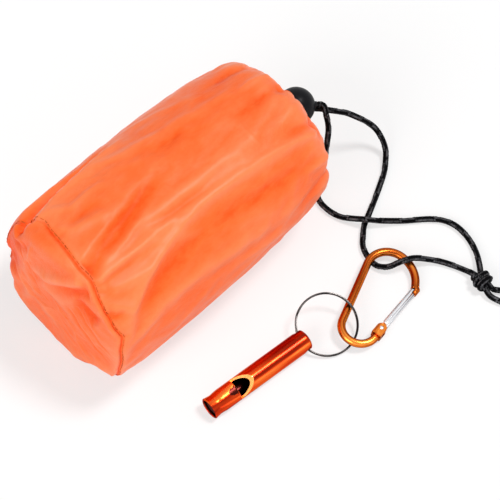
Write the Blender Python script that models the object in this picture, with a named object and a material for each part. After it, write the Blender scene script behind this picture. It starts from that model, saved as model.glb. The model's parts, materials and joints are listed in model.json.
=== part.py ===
"""Emergency sleeping bag, rolled up in its drawstring stuff sack.

The sack lies on its side with its axis along +X: base at -X, gathered mouth at +X, floor at z = 0.
A braided drawcord leaves the mouth through a ball cord lock. One of its two strands carries a small
carabiner, which carries a split ring, which carries a tube whistle. Sizes in the constants are millimetres.
"""
from math import cos, pi, radians, sin

import bmesh
import bpy
from mathutils import Euler, Matrix, Vector
from mathutils.geometry import interpolate_bezier

MM = 0.001
GAP = 0.3
# How far the carabiner's cutters run past what they cut
PAST = 4.0

# Sack: stations of (x, radius) from the base seam to the dimple round the hem
SACK_AXIS_Z = 35.9
SACK_WALL = 0.8
SACK_SIDES = 40
SACK_PROFILE = [
    (-55.9, 35.75), (-50.0, 36.3), (-38.0, 36.7), (-10.0, 36.9), (15.0, 36.6), (32.0, 35.6), (45.0, 33.8),
    (54.0, 31.2), (58.5, 27.6), (61.2, 22.5), (62.5, 16.5), (62.2, 12.6), (60.6, 10.4), (57.4, 9.9),
]
BASE_PROFILE = [(-57.1, 35.4), (-59.4, 33.2), (-61.2, 28.0), (-62.2, 18.0), (-62.5, 0.0)]
THREAD_RADIUS = 0.25
BASE_SEAM = (-56.5, 35.6)
SIDE_SEAM_ANGLE = -35.0
SIDE_SEAM_X = (-54.0, 56.0)

# Rolled film bag inside the sack
ROLL_INNER = 3.0
ROLL_OUTER = 33.0
ROLL_LAYER = 4.2
ROLL_PITCH = 5.0
ROLL_X = (-55.0, 42.0)
ROLL_STEPS_PER_TURN = 20

# Gathered hem with its cord channel
HEM_X = 57.0
HEM_RADIUS = 6.4
HEM_THICKNESS = 2.9
CHANNEL_RADIUS = 1.7

# Braided cord
CORD_RADIUS = 1.25
CORD_STEP = 3.0
LOOP_STEP = 2.2

# Ball cord lock: x along the cords, z towards the top of the dome
LOCK_AT = (70.2, 2.0, 34.0)
LOCK_TURN = (0.0, 17.5, -33.9)
LOCK_RADIUS = 7.7
LOCK_SKIRT = ((3.4, 6.9), (8.0, 5.2))
LOCK_BORE = 3.6
LOCK_BORE_END = 6.6
CORD_OFFSET = 1.45
CORD_SLOT = (3.2, 6.2)
CORD_SLOT_ROUNDING = 1.2
PLUNGER_PROFILE = [(-3.9, 0.0), (-3.9, 3.3), (8.8, 3.3), (9.45, 2.7), (9.7, 1.7), (9.7, 0.0)]
PLUNGER_TRAVEL = 2.2
# Conical, so that its turns nest when the button is pressed: end radii, wire radius, turns
LOCK_SPRING = ((2.8, 1.2), 0.18, 3.0)
LOCK_LEG = (8.3, 4.0, 0.0, -4.0, -7.2)
LOOP_ANGLES = (26.0, 334.0)
LOOP_POINTS = 18
# Between lock and hem: x, y and the height of each leg over and under the sack's axis
LOOP_EXIT = ((60.6, 7.1, 1.6), (58.2, 6.7, 1.9))

# Carabiner: x along its spine, y towards the open side of the spine, gate at -y
CARABINER_AT = (28.93, -67.7, 5.3)
CARABINER_TURN = (7.5, 1.3, 24.1)
CARABINER_TUBE = 1.65
TOP_BEND = ((25.2, -9.0), 9.0)
NOSE_BEND_RADIUS = 13.3
NOSE_BEND_FROM = -15.0
NOSE_BEND_TO = -76.0
FRAME_INTO_FITTING = 1.1
BOTTOM_BEND = ((-3.0, -7.3), 7.3)
CLIP_POINTS = ((28.6, -0.7), (33.4, -12.6))
GATE_PIVOT = (-0.5, -15.3)
GATE_ANGLE = -15.2
GATE_RADIUS = 1.5
GATE_FULL = (2.5, 20.9)
GATE_TONGUE = 0.9
GATE_TONGUE_HALF = 1.4
GATE_BORE = 0.8
GATE_BORE_END = 12.0
LAP_END = 22.7
NOSE_COLLAR = (21.2, 24.6)
NOSE_COLLAR_RADIUS = 1.85
FORK_RADIUS = 2.1
FORK_HALF = 2.0
FORK_SLOT = 1.2
FORK_BACK = -3.6
FORK_SLOT_BACK = -1.9
PIN_RADIUS = 0.5
# End radii, wire radius, turns
GATE_SPRING = ((0.38, 0.38), 0.11, 7.0)

# Split ring: z across its plane
RING_AT = (20.03, -66.25, 6.0)
RING_TURN = (24.6, 0.0, -21.9)
RING_RADIUS = 12.35
RING_WIRE = (0.9, 0.6)
RING_LAYERS = 0.72
RING_START = 170.0
RING_JOG = 30.0
RING_CONTACT_ANGLE = -56.0
SPINE_CONTACT = (5.4, 0.0, 0.0)

# Whistle: x from its mouth to its ring end, z out of its window
WHISTLE_HOLE_AT = (8.2, -64.33, 4.55)
WHISTLE_TURN = (22.2, 0.0, -4.9)
WHISTLE_RADIUS = 4.5
WHISTLE_BORE = 3.7
WHISTLE_LENGTH = 49.0
WHISTLE_HOLE_X = 46.6
WHISTLE_HOLE_RADIUS = 1.75
WHISTLE_SOLID_FROM = 40.0
WINDOW_X = (12.6, 18.8)
WINDOW_WIDTH = 5.4
WINDOW_FLOOR = 1.9
PLUG_X = (1.2, 12.0)
PLUG_TOP = 2.1

# Routes of the free cord, hand-placed along the floor
STRAND_A_ROUTE = [
    (76.9, -2.5, 29.9), (78.9, -4.1, 29.2), (81.5, -6.5, 28.0), (84.2, -8.4, 26.4), (87.0, -10.3, 24.3),
    (90.1, -13.0, 21.0), (93.5, -15.5, 16.5), (96.1, -18.3, 11.5), (96.6, -21.5, 7.0), (95.6, -24.7, 3.4),
    (93.0, -27.4, 1.8), (88.6, -30.8, 1.3), (81.7, -34.7, 1.3), (75.9, -37.6, 1.3), (69.6, -40.7, 1.3),
    (64.6, -43.0, 1.3), (61.0, -46.0, 1.3), (58.0, -48.9, 1.3), (56.2, -52.0, 1.3), (55.2, -55.4, 1.3),
    (54.9, -58.6, 1.5), (55.8, -61.7, 2.3), (57.6, -64.2, 3.7), (60.0, -66.0, 5.6), (63.0, -67.5, 6.3),
    (66.6, -69.2, 5.5), (70.2, -71.4, 3.4), (73.9, -75.0, 1.7), (76.8, -80.2, 1.3), (78.6, -85.0, 1.5),
    (79.3, -88.2, 2.1),
]
STRAND_B_ROUTE = [
    (77.7, -3.05, 32.65), (78.7, -3.8, 32.4), (78.9, -5.3, 32.1), (77.9, -7.3, 29.9), (77.4, -9.0, 26.3),
    (76.7, -10.1, 22.0), (75.7, -10.7, 17.0), (74.3, -11.5, 12.0), (72.3, -12.7, 7.3), (69.0, -14.7, 3.8),
    (64.8, -17.0, 1.9), (61.4, -19.8, 1.3), (59.9, -23.3, 1.3), (59.6, -27.9, 1.3), (60.7, -33.1, 1.6),
    (63.1, -38.0, 2.9), (66.2, -42.8, 4.3), (70.6, -46.9, 3.1), (77.2, -52.0, 1.4), (82.0, -55.9, 1.3),
    (86.0, -59.4, 1.3), (89.2, -63.2, 1.3), (90.9, -68.0, 1.3), (90.9, -73.9, 1.3), (89.6, -79.1, 1.3),
    (87.0, -84.3, 1.7), (84.2, -88.2, 2.4),
]
KNOT_AT = (79.2, -94.2, 3.7)
KNOT_TURN = 45.7
KNOT_LOBES = [((2.4, 0.5, 0.0), (3.3, 3.2, 3.4)), ((-2.4, -0.5, 0.0), (3.4, 3.1, 3.3))]
TAIL_A_ROUTE = [
    (80.2, -99.4, 2.0), (82.3, -102.0, 1.4), (84.6, -105.9, 1.3), (86.3, -110.5, 1.3), (87.2, -115.5, 1.3),
]
TAIL_B_ROUTE = [
    (77.2, -101.0, 1.9), (78.4, -105.0, 1.4), (80.3, -109.5, 1.3), (81.2, -114.3, 1.3), (81.5, -118.5, 1.3),
]


def clear_scene():
    for obj in list(bpy.data.objects):
        bpy.data.objects.remove(obj, do_unlink=True)


def make_material(name, colour, roughness, metallic=0.0):
    material = bpy.data.materials.new(name)
    material.use_nodes = True
    shader = material.node_tree.nodes["Principled BSDF"]
    shader.inputs["Base Color"].default_value = (*colour, 1.0)
    shader.inputs["Roughness"].default_value = roughness
    shader.inputs["Metallic"].default_value = metallic
    return material


def pose(at=(0.0, 0.0, 0.0), turn=(0.0, 0.0, 0.0)):
    """World matrix from a place in millimetres and a turn in degrees about X, then Y, then Z."""
    return Matrix.Translation(Vector(at) * MM) @ Euler([radians(a) for a in turn]).to_matrix().to_4x4()


def add_object(name, mesh, material, matrix=None, smooth_angle=35.0):
    obj = bpy.data.objects.new(name, mesh)
    bpy.context.scene.collection.objects.link(obj)
    mesh.materials.clear()
    mesh.materials.append(material)
    mesh.shade_smooth()
    mesh.set_sharp_from_angle(angle=radians(smooth_angle))
    if matrix is not None:
        obj.matrix_world = matrix
    return obj


def mesh_of(bm, name):
    """Mesh in metres from a bmesh in millimetres, with its faces turned outwards."""
    bmesh.ops.recalc_face_normals(bm, faces=bm.faces)
    bmesh.ops.scale(bm, vec=(MM, MM, MM), verts=bm.verts)
    mesh = bpy.data.meshes.new(name)
    bm.to_mesh(mesh)
    bm.free()
    return mesh


def hang_on(parent, *children):
    """Parents the children and keeps them where they are."""
    bpy.context.view_layer.update()
    for child in children:
        child.parent = parent
        child.matrix_parent_inverse = parent.matrix_world.inverted()


def add_pivot(name, matrix):
    pivot = bpy.data.objects.new(name, None)
    pivot.empty_display_size = 5 * MM
    bpy.context.scene.collection.objects.link(pivot)
    pivot.matrix_world = matrix
    return pivot


def add_hinge(name, low, high):
    """Pivot half-way between two places, with its X axis along the line through them."""
    turn = (high - low).to_track_quat("X", "Z").to_matrix().to_4x4()
    return add_pivot(name, Matrix.Translation((low + high) / 2) @ turn)


def spun(profile, sides, closed=False):
    """Bmesh turned about the X axis from a profile of (x, radius)."""
    bm = bmesh.new()
    verts = [bm.verts.new((x, 0.0, r)) for x, r in profile]
    edges = [bm.edges.new(pair) for pair in zip(verts, verts[1:])]
    if closed:
        edges.append(bm.edges.new((verts[-1], verts[0])))
    bmesh.ops.spin(bm, geom=verts + edges, cent=(0, 0, 0), axis=(1, 0, 0), angle=2 * pi, steps=sides)
    bmesh.ops.remove_doubles(bm, verts=bm.verts, dist=0.001)
    return bm


def round_bar(radius, low, high, sides=24, axis="X"):
    """Bmesh of a plain cylinder between two places on an axis."""
    bm = bmesh.new()
    bmesh.ops.create_cone(bm, cap_ends=True, segments=sides, radius1=radius, radius2=radius, depth=high - low)
    turn = {"X": Matrix.Rotation(pi / 2, 4, "Y"), "Y": Matrix.Rotation(-pi / 2, 4, "X"), "Z": Matrix()}[axis]
    bmesh.ops.transform(bm, matrix=turn @ Matrix.Translation((0, 0, (low + high) / 2)), verts=bm.verts)
    return bm


def block(low, high):
    """Bmesh of a box between two corners."""
    bm = bmesh.new()
    bmesh.ops.create_cube(bm, size=1.0)
    size = [b - a for a, b in zip(low, high)]
    middle = [(a + b) / 2 for a, b in zip(low, high)]
    bmesh.ops.scale(bm, vec=size, verts=bm.verts)
    bmesh.ops.translate(bm, vec=middle, verts=bm.verts)
    return bm


def moved(bm, matrix):
    bmesh.ops.transform(bm, matrix=matrix, verts=bm.verts)
    return bm


def combine(obj, bm, operation="DIFFERENCE"):
    """Boolean of an object with a hidden helper, given in the object's own millimetres."""
    name = f"{obj.name}_cutter_{len(obj.modifiers)}"
    helper = bpy.data.objects.new(name, mesh_of(bm, name))
    bpy.context.scene.collection.objects.link(helper)
    helper.matrix_world = obj.matrix_world
    helper.hide_render = True
    helper.display_type = "WIRE"
    modifier = obj.modifiers.new(operation.lower(), "BOOLEAN")
    modifier.operation = operation
    modifier.object = helper
    return helper


def smooth_route(route, step, closed=False):
    """Points at an even step, in millimetres, along a smooth curve through the route's points."""
    points = [Vector(p) for p in route]
    count = len(points)
    last = count if closed else count - 1
    fine = []
    for i in range(last):
        a, b = points[i], points[(i + 1) % count]
        before = points[i - 1] if closed or i > 0 else a
        after = points[(i + 2) % count] if closed or i + 2 < count else b
        reach = (b - a).length / 3
        out = (b - before).normalized() * reach
        back = (after - a).normalized() * reach
        fine += interpolate_bezier(a, a + out, b - back, b, 13)[:-1]
    fine.append(points[0] if closed else points[-1])
    lengths = [0.0]
    for a, b in zip(fine, fine[1:]):
        lengths.append(lengths[-1] + (b - a).length)
    pieces = max(2, round(lengths[-1] / step))
    even = []
    k = 0
    for i in range(pieces + (not closed)):
        target = lengths[-1] * i / pieces
        while k < len(lengths) - 2 and lengths[k + 1] < target:
            k += 1
        share = (target - lengths[k]) / (lengths[k + 1] - lengths[k])
        even.append(fine[k].lerp(fine[k + 1], min(1.0, share)))
    return even


def route_length(points):
    return sum((b - a).length for a, b in zip(points, points[1:]))


def tube(name, points, radius, material, resolution=2, cyclic=False, matrix=None):
    """Round tube along points in millimetres: a curve with a bevel and filled caps."""
    curve = bpy.data.curves.new(name, "CURVE")
    curve.dimensions = "3D"
    curve.bevel_depth = radius * MM
    curve.bevel_resolution = resolution
    curve.use_fill_caps = not cyclic
    spline = curve.splines.new("POLY")
    spline.points.add(len(points) - 1)
    for spot, place in zip(spline.points, points):
        spot.co = (*(Vector(place) * MM), 1.0)
    spline.use_cyclic_u = cyclic
    curve.materials.append(material)
    obj = bpy.data.objects.new(name, curve)
    bpy.context.scene.collection.objects.link(obj)
    if matrix is not None:
        obj.matrix_world = matrix
    return obj


def tube_mesh(points, radius, resolution):
    """The same tube as a plain mesh, so that it can take Booleans."""
    guide = tube("guide", points, radius, None, resolution)
    bpy.context.view_layer.update()
    mesh = bpy.data.meshes.new_from_object(guide.evaluated_get(bpy.context.evaluated_depsgraph_get()))
    bpy.data.objects.remove(guide, do_unlink=True)
    bm = bmesh.new()
    bm.from_mesh(mesh)
    bmesh.ops.remove_doubles(bm, verts=bm.verts, dist=0.00001)
    bmesh.ops.recalc_face_normals(bm, faces=bm.faces)
    bm.to_mesh(mesh)
    bm.free()
    return mesh


def arc(centre, radius, start, end, steps):
    """Points on an arc in the XY plane, with angles in degrees."""
    angles = [radians(start + (end - start) * i / steps) for i in range(steps + 1)]
    return [Vector((centre[0] + radius * cos(a), centre[1] + radius * sin(a), 0.0)) for a in angles]


def coil(radii, low, high, turns, steps):
    """Points of a helix about the Z axis, from the first radius to the second."""
    count = round(turns * steps)
    spots = []
    for i in range(count + 1):
        angle, share = 2 * pi * i / steps, i / count
        radius = radii[0] + (radii[1] - radii[0]) * share
        spots.append(Vector((radius * cos(angle), radius * sin(angle), low + (high - low) * share)))
    return spots


def lie_on_floor(bm):
    """Lifts the turned body to the sack's axis and presses what would be under the floor flat."""
    for vert in bm.verts:
        vert.co.z = max(0.0, vert.co.z + SACK_AXIS_Z)
    bmesh.ops.remove_doubles(bm, verts=bm.verts, dist=0.001)
    return bm


def build_sack(fabric, thread):
    for name, profile in (("sack_side_panel", SACK_PROFILE), ("sack_base_panel", BASE_PROFILE)):
        panel = add_object(name, mesh_of(lie_on_floor(spun(profile, SACK_SIDES)), name), fabric)
        wall = panel.modifiers.new("wall", "SOLIDIFY")
        wall.thickness = SACK_WALL * MM
        wall.offset = -1.0
    seam_x, seam_radius = BASE_SEAM
    angles = [2 * pi * i / SACK_SIDES for i in range(SACK_SIDES)]
    ring = [(seam_x, seam_radius * cos(a), SACK_AXIS_Z + seam_radius * sin(a)) for a in angles]
    tube("base_seam_thread", ring, THREAD_RADIUS, thread, resolution=0, cyclic=True)
    angle = radians(SIDE_SEAM_ANGLE)
    seam = []
    for x, radius in SACK_PROFILE:
        if SIDE_SEAM_X[0] < x < SIDE_SEAM_X[1]:
            outer = radius + GAP + THREAD_RADIUS
            seam.append((x, outer * cos(angle), SACK_AXIS_Z + outer * sin(angle)))
    tube("side_seam_thread", seam, THREAD_RADIUS, thread, resolution=0)


def build_roll(film):
    """Film bag folded to a strip and wound up: a spiral strip with its layers a little apart."""
    turns = (ROLL_OUTER - ROLL_LAYER - ROLL_INNER) / ROLL_PITCH
    count = int(turns * ROLL_STEPS_PER_TURN)
    bm = bmesh.new()
    rows = []
    for i in range(count + 1):
        angle = 2 * pi * i / ROLL_STEPS_PER_TURN
        inner = ROLL_INNER + ROLL_PITCH * i / ROLL_STEPS_PER_TURN
        row = []
        for x in ROLL_X:
            for radius in (inner, inner + ROLL_LAYER):
                row.append(bm.verts.new((x, radius * cos(angle), SACK_AXIS_Z + radius * sin(angle))))
        rows.append(row)
    for a, b in zip(rows, rows[1:]):
        for i, j in ((0, 1), (1, 3), (3, 2), (2, 0)):
            bm.faces.new((a[i], a[j], b[j], b[i]))
    for row in (rows[0], rows[-1]):
        bm.faces.new((row[0], row[1], row[3], row[2]))
    add_object("sleeping_bag_roll", mesh_of(bm, "sleeping_bag_roll"), film)
    print(f"sleeping_bag_roll: {turns:.1f} turns, {ROLL_PITCH - ROLL_LAYER:.1f} mm apart")


def ring_section(radius, sides):
    angles = [2 * pi * i / sides for i in range(sides)]
    return [(HEM_X + radius * cos(a), HEM_RADIUS + radius * sin(a)) for a in angles]


def build_hem(fabric):
    lift = Matrix.Translation((0, 0, SACK_AXIS_Z))
    outer = moved(spun(ring_section(HEM_THICKNESS, 10), 32, closed=True), lift)
    hem = add_object("mouth_hem", mesh_of(outer, "mouth_hem"), fabric)
    combine(hem, moved(spun(ring_section(CHANNEL_RADIUS, 8), 32, closed=True), lift))
    reach = HEM_THICKNESS + 1.0
    low = (HEM_X - 0.4, HEM_RADIUS - 2.4, SACK_AXIS_Z - reach)
    high = (HEM_X + reach, HEM_RADIUS + 2.4, SACK_AXIS_Z + reach)
    combine(hem, block(low, high))


def build_cord(cord):
    """Loop in the hem with its legs through the lock, two free strands, the knot and its tails."""
    lock = pose(LOCK_AT, LOCK_TURN)
    loop = [
        Vector((HEM_X, p.x, SACK_AXIS_Z + p.y)) for p in arc((0, 0), HEM_RADIUS, *LOOP_ANGLES, LOOP_POINTS)
    ]
    legs = []
    for side in (1, -1):
        straight = [lock @ (Vector((x, 0, side * CORD_OFFSET)) * MM) / MM for x in LOCK_LEG]
        legs.append(straight + [Vector((x, y, SACK_AXIS_Z + side * z)) for x, y, z in LOOP_EXIT])
    route = legs[0] + loop + legs[1][::-1]
    loop_points = smooth_route(route, LOOP_STEP)
    tube("drawcord_channel_loop", loop_points, CORD_RADIUS, cord)
    lengths = {"drawcord_channel_loop": route_length(loop_points)}
    free = {
        "drawcord_strand_a": STRAND_A_ROUTE, "drawcord_strand_b": STRAND_B_ROUTE,
        "drawcord_tail_a": TAIL_A_ROUTE, "drawcord_tail_b": TAIL_B_ROUTE,
    }
    for name, route in free.items():
        points = smooth_route(route, CORD_STEP)
        tube(name, points, CORD_RADIUS, cord)
        lengths[name] = route_length(points)
    for name, length in lengths.items():
        print(f"{name}: {length:.1f} mm long")


def build_knot(cord):
    turn = pose(KNOT_AT, (0.0, 0.0, KNOT_TURN))
    knot = None
    for centre, sizes in KNOT_LOBES:
        bm = bmesh.new()
        bmesh.ops.create_uvsphere(bm, u_segments=18, v_segments=10, radius=1.0)
        bmesh.ops.scale(bm, vec=sizes, verts=bm.verts)
        bmesh.ops.translate(bm, vec=centre, verts=bm.verts)
        if knot is None:
            knot = add_object("drawcord_knot", mesh_of(bm, "drawcord_knot"), cord, turn)
        else:
            combine(knot, bm, "UNION")


def build_lock(plastic, button, steel):
    matrix = pose(LOCK_AT, LOCK_TURN)
    slider = add_pivot("cord_lock_slide", matrix)
    bm = bmesh.new()
    bmesh.ops.create_uvsphere(bm, u_segments=28, v_segments=16, radius=LOCK_RADIUS)
    body = add_object("lock_body", mesh_of(bm, "lock_body"), plastic, matrix)
    to_down = Matrix.Rotation(pi / 2, 4, "Y")
    (skirt_top, wide), (skirt_end, narrow) = LOCK_SKIRT
    skirt = [(skirt_top, 0), (skirt_top, wide), (skirt_end, narrow), (skirt_end, 0)]
    helpers = [combine(body, moved(spun(skirt, 28), to_down), "UNION")]
    helpers.append(combine(body, round_bar(LOCK_BORE, -skirt_end - 2, LOCK_BORE_END, 24, "Z")))
    width, height = CORD_SLOT
    reach = LOCK_RADIUS + 2
    slot = block((-reach, -width / 2, -height / 2), (reach, width / 2, height / 2))
    long_edges = [e for e in slot.edges if abs(e.verts[0].co.x - e.verts[1].co.x) > reach]
    bmesh.ops.bevel(
        slot, geom=long_edges, offset=CORD_SLOT_ROUNDING, segments=3, profile=0.5, affect="EDGES"
    )
    helpers.append(combine(body, slot))
    bar = moved(spun(PLUNGER_PROFILE, 24), to_down)
    plunger = add_object("lock_plunger", mesh_of(bar, "lock_plunger"), button, matrix)
    window_low = (-reach, -width / 2, -(height / 2 + PLUNGER_TRAVEL))
    helpers.append(combine(plunger, block(window_low, (reach, width / 2, height / 2))))
    radii, wire, turns = LOCK_SPRING
    foot = -PLUNGER_PROFILE[0][0]
    points = coil(radii, foot + GAP + wire, LOCK_BORE_END - GAP - wire, turns, 14)
    spring = tube("lock_spring", points, wire, steel, resolution=1, matrix=matrix)
    hang_on(slider, body, plunger, spring, *helpers)


def carabiner_path():
    """Centreline of the frame from its gate stub round the bottom, up the spine and round to the nose."""
    (bottom, bottom_radius), (top, top_radius) = BOTTOM_BEND, TOP_BEND
    shift = NOSE_BEND_RADIUS - top_radius
    towards = radians(NOSE_BEND_FROM)
    nose = (top[0] - shift * cos(towards), top[1] - shift * sin(towards))
    to_gate = gate_matrix()
    path = [to_gate @ Vector((FORK_BACK + FRAME_INTO_FITTING, 0, 0))]
    path += arc(bottom, bottom_radius, 252.0, 90.0, 14)
    path += arc(top, top_radius, 90.0, NOSE_BEND_FROM, 11)
    path += arc(nose, NOSE_BEND_RADIUS, NOSE_BEND_FROM, NOSE_BEND_TO, 7)[1:]
    path.append(to_gate @ Vector((NOSE_COLLAR[1] - FRAME_INTO_FITTING, 0, 0)))
    return path


def gate_matrix():
    """From the gate's own axes, x along the gate from its pin, to the frame's."""
    return Matrix.Translation((*GATE_PIVOT, 0.0)) @ Matrix.Rotation(radians(GATE_ANGLE), 4, "Z")


def in_metres(matrix):
    """The same placing for meshes that are already in metres."""
    return Matrix.Translation(matrix.translation * MM) @ matrix.to_3x3().to_4x4()


def build_carabiner(frame_finish, gate_finish, steel):
    world = pose(CARABINER_AT, CARABINER_TURN)
    to_gate = gate_matrix()
    gate_world = world @ in_metres(to_gate)
    frame = add_object("carabiner_frame", tube_mesh(carabiner_path(), CARABINER_TUBE, 4), frame_finish, world)
    fork_block = block((FORK_BACK, -FORK_RADIUS, -FORK_HALF), (0.0, FORK_RADIUS, FORK_HALF))
    fork_slot = block((FORK_SLOT_BACK, -PAST, -FORK_SLOT), (PAST, PAST, FORK_SLOT))
    lap = block((NOSE_COLLAR[0] - 1.0, -GAP / 2, -PAST), (LAP_END + GAP, PAST, PAST))
    for_frame = [
        (round_bar(NOSE_COLLAR_RADIUS, *NOSE_COLLAR, 20), "UNION"),
        (round_bar(FORK_RADIUS, -FORK_HALF, FORK_HALF, 24, "Z"), "UNION"),
        (fork_block, "UNION"),
        (fork_slot, "DIFFERENCE"),
        (round_bar(PIN_RADIUS + GAP, -PAST, PAST, 16, "Z"), "DIFFERENCE"),
        (lap, "DIFFERENCE"),
    ]
    helpers = [combine(frame, moved(shape, to_gate), operation) for shape, operation in for_frame]
    bar = round_bar(GATE_RADIUS, GATE_FULL[0], LAP_END, 20)
    gate = add_object("carabiner_gate", mesh_of(bar, "carabiner_gate"), gate_finish, gate_world)
    half = GATE_TONGUE_HALF
    for_gate = [
        (block((0.0, -half, -GATE_TONGUE), (GATE_FULL[0] + 1.0, half, GATE_TONGUE)), "UNION"),
        (round_bar(half, -GATE_TONGUE, GATE_TONGUE, 20, "Z"), "UNION"),
        (block((GATE_FULL[1], -PAST, -PAST), (LAP_END + 1.0, GAP / 2, PAST)), "DIFFERENCE"),
        (round_bar(GATE_BORE, -PAST, GATE_BORE_END, 12), "DIFFERENCE"),
        (round_bar(PIN_RADIUS + GAP, -PAST, PAST, 16, "Z"), "DIFFERENCE"),
    ]
    helpers += [combine(gate, shape, operation) for shape, operation in for_gate]
    bar = round_bar(PIN_RADIUS, -FORK_HALF, FORK_HALF, 14, "Z")
    pin = add_object("gate_pivot_pin", mesh_of(bar, "gate_pivot_pin"), steel, gate_world)
    radii, wire, turns = GATE_SPRING
    to_along = Matrix.Rotation(pi / 2, 4, "Y")
    low = PIN_RADIUS + 2 * GAP
    spots = [to_along @ p for p in coil(radii, low, GATE_BORE_END - GAP - wire, turns, 8)]
    spring = tube("gate_spring", spots, wire, steel, resolution=0, matrix=gate_world)
    first, second = (world @ (Vector((*p, 0.0)) * MM) for p in CLIP_POINTS)
    hang_on(add_hinge("carabiner_hinge", first, second), frame, gate, pin, spring, *helpers)


def build_ring(nickel):
    """Two flat turns of wire, with one step where the wire climbs from the lower turn to the upper."""
    width, height = RING_WIRE
    full = 720.0 - RING_JOG
    steps = 80
    bm = bmesh.new()
    rows = []
    for i in range(steps + 1):
        travelled = full * i / steps
        climb = min(1.0, max(0.0, (travelled - (360.0 - RING_JOG)) / RING_JOG))
        z = RING_LAYERS * (climb * climb * (3 - 2 * climb) - 0.5)
        angle = radians(RING_START + travelled)
        row = []
        for dr, dz in ((-1, -1), (1, -1), (1, 1), (-1, 1)):
            radius = RING_RADIUS + dr * width / 2
            row.append(bm.verts.new((radius * cos(angle), radius * sin(angle), z + dz * height / 2)))
        rows.append(row)
    for a, b in zip(rows, rows[1:]):
        for i in range(4):
            bm.faces.new((a[i], a[i - 1], b[i - 1], b[i]))
    bm.faces.new(rows[0])
    bm.faces.new(rows[-1][::-1])
    world = pose(RING_AT, RING_TURN)
    ring = add_object("split_ring", mesh_of(bm, "split_ring"), nickel, world)
    under_frame = radians(RING_CONTACT_ANGLE)
    low = world @ (Vector((cos(under_frame), sin(under_frame), 0.0)) * RING_RADIUS * MM)
    high = pose(CARABINER_AT, CARABINER_TURN) @ (Vector(SPINE_CONTACT) * MM)
    hang_on(add_hinge("ring_hinge", low, high), ring)


def build_whistle(anodised, dark):
    """Its origin is at the middle of the hole that the ring passes through."""
    world = pose(WHISTLE_HOLE_AT, WHISTLE_TURN)
    end, r = WHISTLE_LENGTH - WHISTLE_HOLE_X, WHISTLE_RADIUS
    mouth = -WHISTLE_HOLE_X
    profile = [
        (mouth, WHISTLE_BORE), (mouth, r - 0.3), (mouth + 0.3, r), (end - 1.4, r), (end - 0.5, r - 0.5),
        (end - 0.1, r - 1.3), (end, r - 2.2), (end, 0.0), (mouth + WHISTLE_SOLID_FROM, 0.0),
        (mouth + WHISTLE_SOLID_FROM, WHISTLE_BORE),
    ]
    turned = mesh_of(spun(profile, 32, closed=True), "whistle_tube")
    whistle = add_object("whistle_tube", turned, anodised, world)
    near, far = (mouth + x for x in WINDOW_X)
    helpers = [
        combine(whistle, round_bar(WHISTLE_HOLE_RADIUS, -r - 1, r + 1, 16, "Y")),
        combine(whistle, block((near, -WINDOW_WIDTH / 2, WINDOW_FLOOR), (far, WINDOW_WIDTH / 2, r + 1))),
    ]
    bar = moved(round_bar(WHISTLE_BORE - GAP, *PLUG_X, 24), Matrix.Translation((mouth, 0, 0)))
    plug = add_object("whistle_mouth_plug", mesh_of(bar, "whistle_mouth_plug"), dark, world)
    helpers.append(combine(plug, block((mouth - 1, -r, PLUG_TOP), (mouth + PLUG_X[1] + 1, r, r + 1))))
    hang_on(add_pivot("whistle_hinge", world), whistle, plug, *helpers)


def main():
    clear_scene()
    orange_nylon = make_material("orange_nylon", (0.96, 0.2, 0.06), 0.45)
    orange_thread = make_material("orange_thread", (0.75, 0.13, 0.04), 0.6)
    film = make_material("orange_film", (0.9, 0.32, 0.12), 0.3, 0.4)
    black_cord = make_material("black_cord", (0.01, 0.01, 0.012), 0.6)
    black_plastic = make_material("black_plastic", (0.015, 0.015, 0.018), 0.35)
    button_plastic = make_material("button_plastic", (0.02, 0.02, 0.023), 0.4)
    steel = make_material("spring_steel", (0.55, 0.55, 0.56), 0.3, 1.0)
    orange_anodised = make_material("orange_anodised", (0.9, 0.28, 0.03), 0.25, 1.0)
    silver = make_material("bare_aluminium", (0.8, 0.8, 0.82), 0.25, 1.0)
    nickel = make_material("nickel", (0.6, 0.58, 0.55), 0.2, 1.0)
    red_anodised = make_material("red_anodised", (0.75, 0.06, 0.02), 0.25, 1.0)
    dark_plug = make_material("plug_plastic", (0.05, 0.01, 0.01), 0.5)
    build_sack(orange_nylon, orange_thread)
    build_roll(film)
    build_hem(orange_nylon)
    build_cord(black_cord)
    build_knot(black_cord)
    build_lock(black_plastic, button_plastic, steel)
    build_carabiner(orange_anodised, silver, steel)
    build_ring(nickel)
    build_whistle(red_anodised, dark_plug)


main()
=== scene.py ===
# %% [markdown]
# # Emergency sleeping bag in its stuff sack
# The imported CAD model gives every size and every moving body. This lesson dresses it: fabric with folds,
# braided cord, a ball cord lock, a small carabiner, a split ring and a tube whistle.
# It could be sculpted from the photograph. Here every piece is built from sizes instead, so that it fits its
# CAD node. Lengths are millimetres unless a comment says metres, and the factor MM makes metres.

import json
from math import cos, pi, radians, sin

import bmesh
import bpy
import numpy as np
from mathutils import Euler, Matrix, Vector, noise
from mathutils.geometry import interpolate_bezier

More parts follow.
